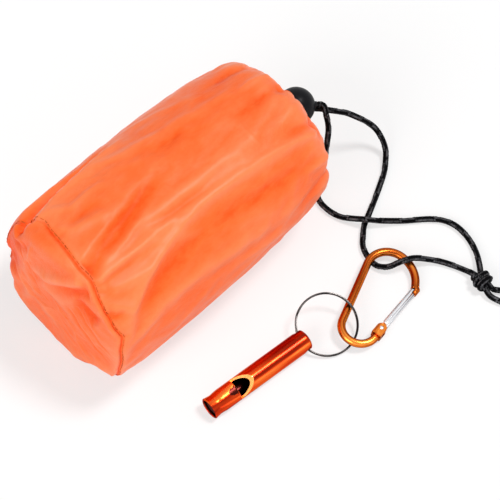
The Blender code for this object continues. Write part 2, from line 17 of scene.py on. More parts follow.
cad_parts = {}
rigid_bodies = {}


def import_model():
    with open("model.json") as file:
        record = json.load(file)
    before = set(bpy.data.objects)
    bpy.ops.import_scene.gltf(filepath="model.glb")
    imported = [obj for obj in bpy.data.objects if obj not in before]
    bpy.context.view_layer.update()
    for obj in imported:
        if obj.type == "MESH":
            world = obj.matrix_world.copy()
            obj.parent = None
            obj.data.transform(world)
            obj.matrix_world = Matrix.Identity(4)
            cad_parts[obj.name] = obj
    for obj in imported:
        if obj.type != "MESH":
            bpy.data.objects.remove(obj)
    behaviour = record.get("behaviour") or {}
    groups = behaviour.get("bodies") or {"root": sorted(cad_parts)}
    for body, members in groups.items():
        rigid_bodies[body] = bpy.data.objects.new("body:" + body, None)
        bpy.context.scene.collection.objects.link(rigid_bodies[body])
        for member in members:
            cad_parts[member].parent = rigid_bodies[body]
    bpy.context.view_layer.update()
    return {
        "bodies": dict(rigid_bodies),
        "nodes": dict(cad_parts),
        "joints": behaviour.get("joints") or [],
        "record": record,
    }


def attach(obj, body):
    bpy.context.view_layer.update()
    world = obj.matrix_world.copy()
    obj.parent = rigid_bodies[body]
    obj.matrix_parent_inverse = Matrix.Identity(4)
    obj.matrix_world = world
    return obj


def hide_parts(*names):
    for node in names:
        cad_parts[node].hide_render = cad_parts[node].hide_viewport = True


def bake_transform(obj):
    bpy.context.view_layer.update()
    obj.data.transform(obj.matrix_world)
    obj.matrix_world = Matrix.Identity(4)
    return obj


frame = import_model()
scene = bpy.context.scene
MM = 0.001

# %% [markdown]
# ## The camera
# A long lens from high on the left front, as the photograph was taken: the sack's axis runs away to the
# upper right and the whistle lies at the front. A short lens would swell the near end of the sack. This
# distance and lens give 0.4 mm to a pixel at the floor.

# %% Camera
CAMERA_AZIMUTH, CAMERA_ELEVATION = -44.3, 59.6
CAMERA_TARGET = (0.0246, -0.0185, 0.0)
CAMERA_DISTANCE, CAMERA_LENS, SENSOR_WIDTH = 1.2, 216, 36

def look_from(azimuth, elevation):
    """Unit vector towards a place given by two angles in degrees, the first from -Y towards +X."""
    a, e = radians(azimuth), radians(elevation)
    return Vector((sin(a) * cos(e), -cos(a) * cos(e), sin(e)))

towards_camera = look_from(CAMERA_AZIMUTH, CAMERA_ELEVATION)
camera_data = bpy.data.cameras.new("camera")
camera_data.lens = CAMERA_LENS
camera_data.sensor_width = SENSOR_WIDTH
camera = bpy.data.objects.new("camera", camera_data)
scene.collection.objects.link(camera)
camera.location = Vector(CAMERA_TARGET) + towards_camera * CAMERA_DISTANCE
camera.rotation_euler = towards_camera.to_track_quat("Z", "Y").to_euler()
scene.camera = camera
print("camera at", [round(x, 3) for x in camera.location])

# %% [markdown]
# ## Small helpers
# Meshes are built from arrays of points in millimetres. Curves with a bevel could make the tubes, but their
# points are harder to shape afterwards. A swept tube here carries one frame along its path without twisting,
# so that its section never pinches.

# %% Placing and meshing helpers
def pose(at=(0.0, 0.0, 0.0), turn=(0.0, 0.0, 0.0)):
    """World matrix, in millimetres, from a place and a turn in degrees about X, then Y, then Z."""
    return Matrix.Translation(Vector(at)) @ Euler([radians(a) for a in turn]).to_matrix().to_4x4()

def placed(points, matrix):
    """Points moved and turned by a matrix."""
    rotation = np.array(matrix.to_3x3())
    return np.asarray(points, float) @ rotation.T + np.array(matrix.translation)

def link(name, mesh):
    """New object in the scene, at the origin."""
    obj = bpy.data.objects.new(name, mesh)
    scene.collection.objects.link(obj)
    return obj

def mesh_from(name, points, faces, smooth=True):
    """Mesh in metres from points in millimetres."""
    mesh = bpy.data.meshes.new(name)
    mesh.from_pydata([tuple(p) for p in np.asarray(points, float) * MM], [], [tuple(f) for f in faces])
    mesh.update()
    if smooth:
        mesh.shade_smooth()
    return mesh

def outward(mesh):
    """Merges doubles and turns every face outwards."""
    bm = bmesh.new()
    bm.from_mesh(mesh)
    bmesh.ops.remove_doubles(bm, verts=bm.verts, dist=1e-7)
    bmesh.ops.recalc_face_normals(bm, faces=bm.faces)
    bm.to_mesh(mesh)
    bm.free()
    return mesh

def grid_faces(rows, columns, wrap_rows=False, wrap_columns=True):
    """Quads of a grid whose points are numbered row by row."""
    r = np.arange(rows if wrap_rows else rows - 1)
    c = np.arange(columns if wrap_columns else columns - 1)
    a = r[:, None] * columns + c[None, :]
    b = r[:, None] * columns + (c[None, :] + 1) % columns
    up = ((r + 1) % rows)[:, None] * columns
    d, e = up + c[None, :], up + (c[None, :] + 1) % columns
    return np.stack([a, b, e, d], -1).reshape(-1, 4)

def sweep(path, section, closed=False):
    """Points and faces of a section of (u, v) swept along a path; section may differ from point to point."""
    path = [Vector(p) for p in path]
    count = len(path)
    tangents = []
    for i in range(count):
        before = path[(i - 1) % count] if closed or i else path[0]
        after = path[(i + 1) % count] if closed or i < count - 1 else path[-1]
        tangents.append((after - before).normalized())
    side = tangents[0].orthogonal().normalized()
    rows = []
    for i in range(count):
        if i:
            side = tangents[i - 1].rotation_difference(tangents[i]) @ side
        side = (side - tangents[i] * side.dot(tangents[i])).normalized()
        up = tangents[i].cross(side)
        shape = section[i] if np.ndim(section) == 3 else section
        rows.append([path[i] + side * u + up * v for u, v in shape])
    columns = len(rows[0])
    points = np.array([p for row in rows for p in row])
    faces = [tuple(f) for f in grid_faces(count, columns, closed, True)]
    if not closed:
        faces += [tuple(range(columns))[::-1], tuple(range((count - 1) * columns, count * columns))]
    return points, faces

def circle(radius, sides):
    angles = [2 * pi * i / sides for i in range(sides)]
    return [(radius * cos(a), radius * sin(a)) for a in angles]

def lathe(profile, sides, closed=False):
    """Points and faces turned about the X axis from a profile of (x, radius)."""
    angles = np.arange(sides) * 2 * pi / sides
    profile = np.asarray(profile, float)
    points = np.stack([
        np.repeat(profile[:, :1], sides, 1), profile[:, 1:] * np.cos(angles), profile[:, 1:] * np.sin(angles),
    ], -1).reshape(-1, 3)
    faces = grid_faces(len(profile), sides, closed, True)
    return points, [tuple(f) for f in faces]

def smooth_route(route, step, closed=False):
    """Points at an even step along a smooth curve through the route's points."""
    points = [Vector(p) for p in route]
    count = len(points)
    fine = []
    for i in range(count if closed else count - 1):
        a, b = points[i], points[(i + 1) % count]
        before = points[i - 1] if closed or i > 0 else a
        after = points[(i + 2) % count] if closed or i + 2 < count else b
        reach = (b - a).length / 3
        out, back = (b - before).normalized() * reach, (after - a).normalized() * reach
        fine += interpolate_bezier(a, a + out, b - back, b, 17)[:-1]
    fine.append(points[0] if closed else points[-1])
    fine = np.array(fine)
    lengths = np.concatenate([[0], np.cumsum(np.linalg.norm(np.diff(fine, axis=0), axis=1))])
    pieces = max(2, round(lengths[-1] / step))
    even = np.linspace(0, lengths[-1], pieces + 1)
    spots = np.stack([np.interp(even, lengths, fine[:, k]) for k in range(3)], 1)
    return spots[:-1] if closed else spots

def length_of(points):
    """Length of the line through the points."""
    return float(np.linalg.norm(np.diff(np.asarray(points, float), axis=0), axis=1).sum())

print("helpers ready")

# %% [markdown]
# ## Cutting and rounding
# Slots, bores and laps are cut with Boolean modifiers, and a Bevel modifier breaks the edges that they leave.
# Both could stay live. They are applied at once, because the next step reads the finished mesh.

# %% Boolean and modifier helpers
def bake(obj):
    """Replaces an object's mesh with what its modifiers make, and removes them."""
    bpy.context.view_layer.update()
    evaluated = obj.evaluated_get(bpy.context.evaluated_depsgraph_get())
    obj.data = bpy.data.meshes.new_from_object(evaluated)
    obj.data.name = obj.name
    obj.modifiers.clear()
    return obj

def combined(obj, cutters, bevel=0.0, segments=2):
    """Obj cut by or joined with (mesh, operation) helpers, then with its hard edges rounded."""
    helpers = []
    for mesh, operation in cutters:
        helper = link(f"{obj.name}_cutter", mesh)
        modifier = obj.modifiers.new(operation.lower(), "BOOLEAN")
        modifier.operation = operation
        modifier.solver = "EXACT"
        modifier.object = helper
        helpers.append(helper)
    if bevel:
        modifier = obj.modifiers.new("rounding", "BEVEL")
        modifier.width = bevel * MM
        modifier.segments = segments
        modifier.limit_method = "ANGLE"
        modifier.angle_limit = radians(40)
        modifier.use_clamp_overlap = True
    bake(obj)
    for helper in helpers:
        bpy.data.objects.remove(helper, do_unlink=True)
    return obj

def mesh_piece(name, points, faces, matrix=None, angle=35.0):
    """Object from points and faces, sharp where its faces meet at more than the angle."""
    if matrix is not None:
        points = placed(points, matrix)
    mesh = outward(mesh_from(name, points, faces))
    mesh.set_sharp_from_angle(angle=radians(angle))
    return link(name, mesh)

def bar_mesh(radius, low, high, sides, axis, matrix):
    """Closed cylinder along an axis, as a helper mesh in the world."""
    points, faces = lathe([(low, 0.0), (low, radius), (high, radius), (high, 0.0)], sides)
    turn = {"X": Matrix(), "Y": Matrix.Rotation(pi / 2, 4, "Z"), "Z": Matrix.Rotation(-pi / 2, 4, "Y")}[axis]
    return outward(mesh_from("bar", placed(points, matrix @ turn), faces, False))

def block_mesh(low, high, matrix):
    """Closed box between two corners, as a helper mesh in the world."""
    (x0, y0, z0), (x1, y1, z1) = low, high
    points = [(x, y, z) for x in (x0, x1) for y in (y0, y1) for z in (z0, z1)]
    faces = [(0, 1, 3, 2), (4, 6, 7, 5), (0, 4, 5, 1), (2, 3, 7, 6), (0, 2, 6, 4), (1, 5, 7, 3)]
    return outward(mesh_from("block", placed(points, matrix), faces, False))

def prism_mesh(outline, low, high, matrix, axis="Y"):
    """Closed prism between two values on an axis. Its outline is in (x, z), or along X in (y, z)."""
    count = len(outline)
    if axis == "X":
        points = [(end, u, v) for end in (low, high) for u, v in outline]
    else:
        points = [(u, end, v) for end in (low, high) for u, v in outline]
    faces = [tuple(range(count)), tuple(range(count, 2 * count))[::-1]]
    faces += [(i, (i + 1) % count, count + (i + 1) % count, count + i) for i in range(count)]
    return outward(mesh_from("prism", placed(points, matrix), faces, False))

print("modifier helpers ready")

# %% [markdown]
# ## Cord routes
# The two free strands of the drawcord run from the lock over the floor to the knot and past it. Each is one
# cord here, from lock to tail end. A simulation could drop them on the floor, but never just as they lie in
# the photograph, so their points were placed one by one. The first ones stay in line with the lock's slot.

# %% Cord routes
# Points in metres
STRAND_A = [
    (.0769, -.0025, .0299), (.0789, -.0041, .0292), (.0815, -.0065, .0280), (.0842, -.0084, .0264),
    (.0870, -.0103, .0243), (.0901, -.0130, .0210), (.0935, -.0155, .0165), (.0961, -.0183, .0115),
    (.0966, -.0215, .0070), (.0956, -.0247, .0034), (.0930, -.0274, .0018), (.0886, -.0308, .0013),
    (.0817, -.0347, .0013), (.0759, -.0376, .0013), (.0696, -.0407, .0013), (.0646, -.0430, .0013),
    (.0610, -.0460, .0013), (.0580, -.0489, .0013), (.0562, -.0520, .0013), (.0552, -.0554, .0013),
    (.0549, -.0586, .0015), (.0558, -.0617, .0023), (.0576, -.0642, .0037), (.0600, -.0660, .0056),
    (.0630, -.0675, .0063), (.0666, -.0692, .0055), (.0702, -.0714, .0034), (.0739, -.0750, .0017),
    (.0768, -.0802, .0013), (.0786, -.0850, .0015), (.0793, -.0882, .0021),
]
STRAND_B = [
    (.0777, -.00305, .03265), (.0787, -.0038, .0324), (.0789, -.0053, .0321), (.0779, -.0073, .0299),
    (.0774, -.0090, .0263), (.0767, -.0101, .0220), (.0757, -.0107, .0170), (.0743, -.0115, .0120),
    (.0723, -.0127, .0073), (.0690, -.0147, .0038), (.0648, -.0170, .0019), (.0614, -.0198, .0013),
    (.0599, -.0233, .0013), (.0596, -.0279, .0013), (.0607, -.0331, .0016), (.0631, -.0380, .0029),
    (.0662, -.0428, .0043), (.0706, -.0469, .0031), (.0772, -.0520, .0014), (.0820, -.0559, .0013),
    (.0860, -.0594, .0013), (.0892, -.0632, .0013), (.0909, -.0680, .0013), (.0909, -.0739, .0013),
    (.0896, -.0791, .0013), (.0870, -.0843, .0017), (.0842, -.0882, .0024),
]
THROUGH_KNOT_A = [(.0792, -.0912, .0034), (.0794, -.0944, .0043), (.0799, -.0970, .0034)]
THROUGH_KNOT_B = [(.0815, -.0914, .0031), (.0793, -.0946, .0031), (.0777, -.0978, .0026)]
TAIL_A = [
    (.0802, -.0994, .0020), (.0823, -.1020, .0014), (.0846, -.1059, .0013), (.0863, -.1105, .0013),
    (.0872, -.1155, .0013),
]
TAIL_B = [
    (.0772, -.1010, .0019), (.0784, -.1050, .0014), (.0803, -.1095, .0013), (.0812, -.1143, .0013),
    (.0815, -.1185, .0013),
]
LOCK_AT, LOCK_TURN = (70.2, 2.0, 34.0), (0.0, 17.5, -33.9)
# Places along the lock's axis, and the two points that lead each leg on to the hem
LOCK_LEG = (8.3, 4.0, 0.0, -4.0, -7.2)
LEG_END = ((60.6, 7.1, 1.6), (58.2, 6.7, 1.9))
CORD_OFFSET = 1.45
SACK_AXIS_Z = 35.9
HEM_X, HEM_RADIUS = 57.0, 6.4
HEM_FROM, HEM_TURN, HEM_STEPS = 26, 308, 18
to_lock = pose(LOCK_AT, LOCK_TURN)
legs = []
for side in (1, -1):
    leg = [tuple(to_lock @ Vector((x, 0, side * CORD_OFFSET))) for x in LOCK_LEG]
    leg += [(x, y, SACK_AXIS_Z + side * z) for x, y, z in LEG_END]
    legs.append(leg)
turn = [radians(HEM_FROM + HEM_TURN * i / HEM_STEPS) for i in range(HEM_STEPS + 1)]
hem_turn = [(HEM_X, HEM_RADIUS * cos(a), SACK_AXIS_Z + HEM_RADIUS * sin(a)) for a in turn]
CORD_STEP = 0.3
routes = {
    "drawcord_a": smooth_route(np.array(STRAND_A + THROUGH_KNOT_A + TAIL_A) / MM, CORD_STEP),
    "drawcord_b": smooth_route(np.array(STRAND_B + THROUGH_KNOT_B + TAIL_B) / MM, CORD_STEP),
    "drawcord_loop": smooth_route(legs[0] + hem_turn + legs[1][::-1], CORD_STEP),
}
KNOT_AT = np.array((79.2, -94.2, 3.7))
KNOT_FLOW = np.array((-0.24, -0.97, 0.0))
KNOT_ACROSS = np.array((0.97, -0.24, 0.0))
KNOT_TURNS, KNOT_PITCH, KNOT_START, KNOT_STEPS = 2.3, 2.55, 2.6, 60
wrap = []
for i in range(KNOT_STEPS + 1):
    share = i / KNOT_STEPS
    a = 2 * pi * KNOT_TURNS * share + KNOT_START
    tuck = min(1.0, 6 * share, 6 * (1 - share)) ** 0.5
    along = KNOT_PITCH * KNOT_TURNS * (share - 0.5)
    wrap.append(KNOT_AT + KNOT_FLOW * along + KNOT_ACROSS * (1.3 + 1.7 * tuck) * cos(a)
                + np.array((0, 0, 1.0)) * (1.1 + 1.3 * tuck) * sin(a))
routes["drawcord_knot_wrap"] = smooth_route(wrap, CORD_STEP)
for name, route in routes.items():
    print(name, "length", round(length_of(route), 1), "mm")

# %% [markdown]
# ## Building node trees
# A node tree can be drawn in the editor or built by a script. A script can be read line by line, and it
# gives the same tree each time. These helpers add a node, fill its inputs and link it in one line.

# %% Node tree helper
class Tree:
    """A few short ways to add and link the nodes of a tree."""
    def __init__(self, tree):
        self.tree = tree

    def add(self, kind, inputs=None, **settings):
        node = self.tree.nodes.new(kind)
        for key, value in settings.items():
            setattr(node, key, value)
        for key, value in (inputs or {}).items():
            self.put(node.inputs[key], value)
        return node

    def maths(self, operation, *values):
        node = self.tree.nodes.new("ShaderNodeMath")
        node.operation = operation
        return self.fill(node, values).outputs[0]

    def vector(self, operation, *values):
        node = self.tree.nodes.new("ShaderNodeVectorMath")
        node.operation = operation
        self.fill(node, values)
        return node.outputs["Value" if operation in ("DOT_PRODUCT", "LENGTH", "DISTANCE") else "Vector"]

    def scaled(self, vector, factor):
        node = self.tree.nodes.new("ShaderNodeVectorMath")
        node.operation = "SCALE"
        self.put(node.inputs[0], vector)
        self.put(node.inputs["Scale"], factor)
        return node.outputs[0]

    def fill(self, node, values):
        for socket, value in zip(node.inputs, values):
            self.put(socket, value)
        return node

    def put(self, socket, value):
        """Links a socket to another, or gives it a plain value."""
        if isinstance(value, bpy.types.NodeSocket):
            self.tree.links.new(value, socket)
        else:
            socket.default_value = value

def geometry_group(name, floats, integers=()):
    """Empty Geometry Nodes group with a geometry, number inputs and a material."""
    group = bpy.data.node_groups.new(name, "GeometryNodeTree")
    face = group.interface
    face.new_socket("Geometry", in_out="OUTPUT", socket_type="NodeSocketGeometry")
    face.new_socket("Geometry", in_out="INPUT", socket_type="NodeSocketGeometry")
    for key in floats:
        face.new_socket(key, in_out="INPUT", socket_type="NodeSocketFloat")
    for key in integers:
        face.new_socket(key, in_out="INPUT", socket_type="NodeSocketInt")
    face.new_socket("Material", in_out="INPUT", socket_type="NodeSocketMaterial")
    tree = Tree(group)
    return group, tree, tree.add("NodeGroupInput"), tree.add("NodeGroupOutput")

def grown(obj, group, **values):
    """Runs a Geometry Nodes group on an object and keeps what it makes as a plain mesh."""
    modifier = obj.modifiers.new("growth", "NODES")
    modifier.node_group = group
    for item in group.interface.items_tree:
        if item.item_type == "SOCKET" and item.in_out == "INPUT" and item.name in values:
            modifier[item.identifier] = values[item.name]
    bpy.context.view_layer.update()
    evaluated = obj.evaluated_get(bpy.context.evaluated_depsgraph_get())
    mesh = bpy.data.meshes.new_from_object(evaluated)
    name = obj.name
    bpy.data.objects.remove(obj, do_unlink=True)
    mesh.name = name
    mesh.materials.clear()
    mesh.materials.append(values["Material"])
    mesh.polygons.foreach_set("material_index", np.zeros(len(mesh.polygons), np.int32))
    return link(name, mesh)

def finish_group(t, geometry, given, result):
    """Ends a tree: real geometry, smooth, with the given material."""
    real = t.add("GeometryNodeRealizeInstances", {"Geometry": geometry})
    smooth = t.add("GeometryNodeSetShadeSmooth", {"Geometry": real.outputs[0]})
    coated = t.add("GeometryNodeSetMaterial", {
        "Geometry": smooth.outputs[0], "Material": given.outputs["Material"]})
    t.put(result.inputs[0], coated.outputs[0])

def guide_curve(name, points):
    """Curve through points, for a tree to follow."""
    curve = bpy.data.curves.new(name, "CURVE")
    curve.dimensions = "3D"
    spline = curve.splines.new("POLY")
    spline.points.add(len(points) - 1)
    spline.points.foreach_set("co", np.hstack([np.asarray(points) * MM, np.ones((len(points), 1))]).ravel())
    return link(name, curve)

print("tree helper ready")

# %% [markdown]
# ## Braided cord
# Fourteen flat yarns, seven each way, cross over and under each other round a core. A bump map could fake
# them. Geometry Nodes copies the centreline once for each yarn and moves each copy out by a radius that
# rises and falls, so the weave is real geometry that shows at the edge of the cord. Each yarn also carries
# how far it is lifted, and the material paints a pale fleck there as a highlight.

# %% Braid group
def braid_group():
    """Yarns that cross over and under each other round a core, along a curve."""
    group, t, given, result = geometry_group(
        "braid", ("Weave Radius", "Rise", "Pitch", "Yarn Width", "Yarn Height", "Core Radius"),
        ("Yarns Each Way",))
    each_way = given.outputs["Yarns Each Way"]
    line = given.outputs["Geometry"]
    copies = t.add("GeometryNodeDuplicateElements", {
        "Geometry": line, "Amount": t.maths("MULTIPLY", each_way, 2.0)}, domain="SPLINE")
    index = copies.outputs["Duplicate Index"]
    back = t.maths("GREATER_THAN", index, t.maths("SUBTRACT", each_way, 0.5))
    way = t.maths("SUBTRACT", 1.0, t.maths("MULTIPLY", back, 2.0))
    number = t.maths("SUBTRACT", index, t.maths("MULTIPLY", back, each_way))
    run = t.add("GeometryNodeSplineParameter").outputs["Length"]
    swing = t.maths("MULTIPLY", t.maths("DIVIDE", run, given.outputs["Pitch"]), 2 * pi)
    angle = t.maths("ADD", t.maths("MULTIPLY", way, swing),
                    t.maths("DIVIDE", t.maths("MULTIPLY", number, 2 * pi), each_way))
    beat = t.maths("MULTIPLY", t.maths("MULTIPLY", swing, way), t.maths("DIVIDE", each_way, 2.0))
    phase = t.maths("ADD", beat, t.maths("SUBTRACT", t.maths("MULTIPLY", number, pi), pi / 4))
    lifted = t.maths("MULTIPLY", t.maths("COSINE", phase), way)
    rise = t.maths("MULTIPLY", lifted, given.outputs["Rise"])
    radius = t.maths("ADD", given.outputs["Weave Radius"], rise)
    normal = t.add("GeometryNodeInputNormal").outputs[0]
    tangent = t.add("GeometryNodeInputTangent").outputs[0]
    across = t.vector("CROSS_PRODUCT", tangent, normal)
    outwards = t.vector("ADD", t.scaled(normal, t.maths("COSINE", angle)),
                        t.scaled(across, t.maths("SINE", angle)))
    line_data = copies.outputs["Geometry"]
    # The crest value also tells the material where to paint a highlight on the yarns.
    for key, value, kind in (
            ("outwards", outwards, "FLOAT_VECTOR"), ("shift", t.scaled(outwards, radius), "FLOAT_VECTOR"),
            ("crest_highlight", t.maths("MULTIPLY_ADD", lifted, 0.5, 0.5), "FLOAT")):
        stored = t.add("GeometryNodeStoreNamedAttribute", {
            "Geometry": line_data, "Name": key, "Value": value}, data_type=kind, domain="POINT")
        line_data = stored.outputs["Geometry"]
    offset = t.add("GeometryNodeInputNamedAttribute", {"Name": "shift"}, data_type="FLOAT_VECTOR")
    out_of = t.add("GeometryNodeInputNamedAttribute", {"Name": "outwards"}, data_type="FLOAT_VECTOR")
    moved = t.add("GeometryNodeSetPosition", {"Geometry": line_data, "Offset": offset.outputs[0]})
    turned = t.add("GeometryNodeSetCurveNormal", {"Curve": moved.outputs[0]})
    turned.mode = "FREE"
    t.put(turned.inputs["Normal"], out_of.outputs[0])
    ring = t.add("GeometryNodeCurvePrimitiveCircle", {"Resolution": 6, "Radius": 1.0}, mode="RADIUS")
    size = t.add("ShaderNodeCombineXYZ", {
        "X": given.outputs["Yarn Height"], "Y": given.outputs["Yarn Width"], "Z": 1.0})
    section = t.add("GeometryNodeTransform", {"Geometry": ring.outputs[0], "Scale": size.outputs[0]})
    yarns = t.add("GeometryNodeCurveToMesh", {
        "Curve": turned.outputs[0], "Profile Curve": section.outputs[0], "Fill Caps": True})
    core_ring = t.add("GeometryNodeCurvePrimitiveCircle", {
        "Resolution": 12, "Radius": given.outputs["Core Radius"]}, mode="RADIUS")
    core = t.add("GeometryNodeCurveToMesh", {
        "Curve": line, "Profile Curve": core_ring.outputs[0], "Fill Caps": True})
    joined = t.add("GeometryNodeJoinGeometry")
    for part in (core.outputs[0], yarns.outputs[0]):
        t.put(joined.inputs[0], part)
    finish_group(t, joined.outputs[0], given, result)
    return group

braid = braid_group()
BRAID = {"Weave Radius": 0.99 * MM, "Rise": 0.12 * MM, "Pitch": 7.0 * MM, "Yarn Width": 0.4 * MM,
         "Yarn Height": 0.18 * MM, "Core Radius": 0.84 * MM, "Yarns Each Way": 7}
black_yarn = bpy.data.materials.new("black_yarn")
cords = {}
for name, route in routes.items():
    cords[name] = grown(guide_curve(name, route), braid, Material=black_yarn, **BRAID)
    print(name, len(cords[name].data.polygons), "faces")

# %% [markdown]
# ## The sack's shape
# The body is turned from one profile, base centre to hem, and laid on the floor. It could be sculpted, but
# then nothing else could be placed on it by numbers. Every place on the sack is a run along the profile and
# an angle round the axis, from the top towards the front.

# %% Body profile
# (x, radius) from the middle of the base, over the seam, to the inside of the gathered mouth
PROFILE = [
    (-61.9, 0.0), (-61.85, 9.0), (-61.5, 18.0), (-60.6, 28.0), (-59.2, 33.1), (-57.2, 35.3), (-55.0, 36.0),
    (-50.0, 36.35), (-38.0, 36.7), (-10.0, 36.9), (15.0, 36.6), (32.0, 35.6), (45.0, 33.8), (54.0, 31.2),
    (58.5, 27.6), (61.2, 22.5), (62.5, 16.5), (62.1, 12.6), (60.4, 10.2), (57.2, 9.2),
]
def even_profile(count):
    """Run, x and radius of so many points, evenly along the profile."""
    points = smooth_route([(x, 0.0, r) for x, r in PROFILE], 0.25)
    lengths = np.concatenate([[0], np.cumsum(np.linalg.norm(np.diff(points, axis=0), axis=1))])
    even = np.linspace(0, lengths[-1], count)
    x, r = np.interp(even, lengths, points[:, 0]), np.interp(even, lengths, points[:, 2])
    return even, x, r

profile_run, profile_x, profile_r = even_profile(1200)
def run_at_x(x):
    side = profile_x > -57.0
    first = np.argmax(side)
    last = first + np.argmax(profile_x[first:])
    return np.interp(x, profile_x[first:last], profile_run[first:last])

def run_at_radius(radius):
    last = np.argmax(profile_r > 35.0)
    return np.interp(radius, profile_r[:last], profile_run[:last])

def body_points(run, angle):
    """Points on the plain body, at a run along the profile and an angle in degrees from top to front."""
    x, r = np.interp(run, profile_run, profile_x), np.interp(run, profile_run, profile_r)
    a = np.radians(angle)
    return np.stack([x + 0 * a, -r * np.sin(a), SACK_AXIS_Z + r * np.cos(a)], -1)

def place(*spot):
    """A place (x, angle) on the side, or ("base", radius, angle) on the base, as a run and an angle."""
    if spot[0] == "base":
        return float(run_at_radius(spot[1])), spot[2]
    return float(run_at_x(spot[0])), spot[1]

print("profile is", round(profile_run[-1], 1), "mm long from base middle to hem")

# %% [markdown]
# ## Seam line and folds
# Folds are what makes the sack soft to the eye. Sculpting would do, but the numbers can be set against the
# photograph one by one. A fold is a ridge or a valley along a line on the sack, and a step is one edge of
# cloth that lies over another. Places are (x, angle), or ("base", distance from the middle, angle).

# %% Seam line and fold table
# Where the base seam lies: (angle, run as a place)
SEAM = [
    (-180, (-56.3,)), (-120, (-56.3,)), (-75, (-56.0,)), (-50, (-54.5,)), (-36.3, (-52.7,)),
    (-24.2, (-50.8,)), (-12, (-52.6,)), (1.1, (-53.9,)), (15.4, (-55.3,)), (25.5, (-54.9,)), (36.2, (-56.8,)),
    (46.9, ("base", 35.1)), (58.5, ("base", 35.0)), (67.5, (-56.4,)), (77.7, ("base", 34.4)),
    (104, ("base", 33.6)), (140, (-56.3,)), (180, (-56.3,)),
]
def seam_run(angle):
    """Run of the base seam at any angle."""
    runs = [place(*where, a)[0] for a, where in SEAM]
    return np.interp((np.asarray(angle) + 180) % 360 - 180, [a for a, _ in SEAM], runs)

# Places along the line, height, half-width at both ends, share of the line that fades in and out
FOLDS = [
    ([("base", 32, -42), (-54, -41), (-43, -43), (-29, -45.5), (-14, -48), (3, -50)],
     -2.5, (3.0, 1.6), (0.1, 0.5)),
    ([("base", 30, -56), ("base", 28, -40), ("base", 30, -29)], -1.8, (2.6, 2.2), (0.3, 0.3)),
    ([(-54, -52), (-40, -51), (-16, -53)], 0.8, (2.0, 2.0), (0.1, 0.5)),
    ([(-54, 19.5), (-51, 19.5), (-40, 13), (-27, 9), (-13, 3), (-4, -2)], -2.0, (3.4, 3.6), (0.05, 0.4)),
    ([(-54, 27.5), (-41, 28), (-30, 28.5), (-19, 28), (-8, 28)], 1.2, (1.8, 2.4), (0.05, 0.5)),
    ([(-24, 24), (-14, 25), (-4, 26), (8, 28)], -0.9, (1.8, 1.8), (0.4, 0.4)),
    ([(-53, 37), (-43, 40.5), (-33, 42), (-24, 38)], 0.9, (2.2, 2.2), (0.15, 0.4)),
    ([(-49, 64), (-35, 55), (-24, 49), (-10, 46), (4, 48), (20, 52), (38, 57), (54, 60)],
     -1.2, (3.4, 4.2), (0.1, 0.15)),
    ([(-50, 73), (-34, 68), (-17, 67), (4, 71), (27, 76), (49, 85)], 0.7, (4.0, 4.0), (0.1, 0.2)),
    ([(-56.5, 45), (-55.5, 53), (-48, 55)], -1.5, (1.8, 2.2), (0.3, 0.4)),
    ([(-48, -9), (-38, -11), (-28, -10)], -0.8, (2.4, 2.4), (0.2, 0.5)),
    ([(16, -13), (6, -13), (-4, -10)], -0.8, (3.6, 3.6), (0.4, 0.4)),
    ([(40, 33), (47, 35), (55, 39.5), (58.5, 40)], -1.6, (1.6, 2.0), (0.4, 0.1)),
    ([(40, 26), (52, 22), (58, 22)], 0.9, (2.0, 2.0), (0.4, 0.1)),
    ([(28, 4), (46, 2), (57, 5)], -1.2, (2.6, 2.6), (0.5, 0.1)),
    ([(26, -30), (46, -32), (58, -28)], -1.2, (2.6, 2.6), (0.5, 0.1)),
    ([(28, 82), (46, 84), (58, 80)], -1.2, (2.6, 2.6), (0.5, 0.1)),
    ([("base", 20, -31), ("base", 20, -5), ("base", 28, 16), ("base", 34.8, 23)],
     1.2, (2.4, 2.2), (0.3, 0.1)),
    ([("base", 14, 0), ("base", 28, 26), ("base", 34.4, 31)], -1.5, (2.2, 2.4), (0.4, 0.1)),
    ([("base", 24, 30), ("base", 28, 58)], -1.2, (3.0, 3.0), (0.3, 0.3)),
    ([("base", 27, 172), ("base", 27.5, 144), ("base", 28.5, 112)], 0.9, (4.0, 4.0), (0.2, 0.2)),
    ([("base", 33, -44), ("base", 33, -75), ("base", 33, -106)], -3.4, (7.5, 7.5), (0.25, 0.25)),
    ([(-54, -88), (-30, -84), (-4, -88)], -1.2, (3.0, 3.0), (0.1, 0.6)),
    ([(20, -96), (44, -98), (57, -92)], -1.1, (3.0, 3.0), (0.5, 0.1)),
    ([(24, 112), (46, 116), (57, 110)], -1.1, (3.0, 3.0), (0.5, 0.1)),
]
# Steps are written alike, with the cliff's half-width and the reach over which the raised side, on the
# left of the line seen from outside, falls back
STEPS = [
    ([(0, -45), (-12, -41), (-30, -37), (-41, -34.5), (-54, -30.5)], 2.2, (0.7, 6.0), (0.3, 0.05)),
    ([(-50, 60), (-47, 57), (-36, 47.5), (-28, 42), (-21, 38.5), (-12, 35), (1, 34), (10, 35.5), (20, 38),
      (32, 41), (42, 43), (52, 47), (57, 48)], 1.5, (1.5, 7.0), (0.08, 0.1)),
]
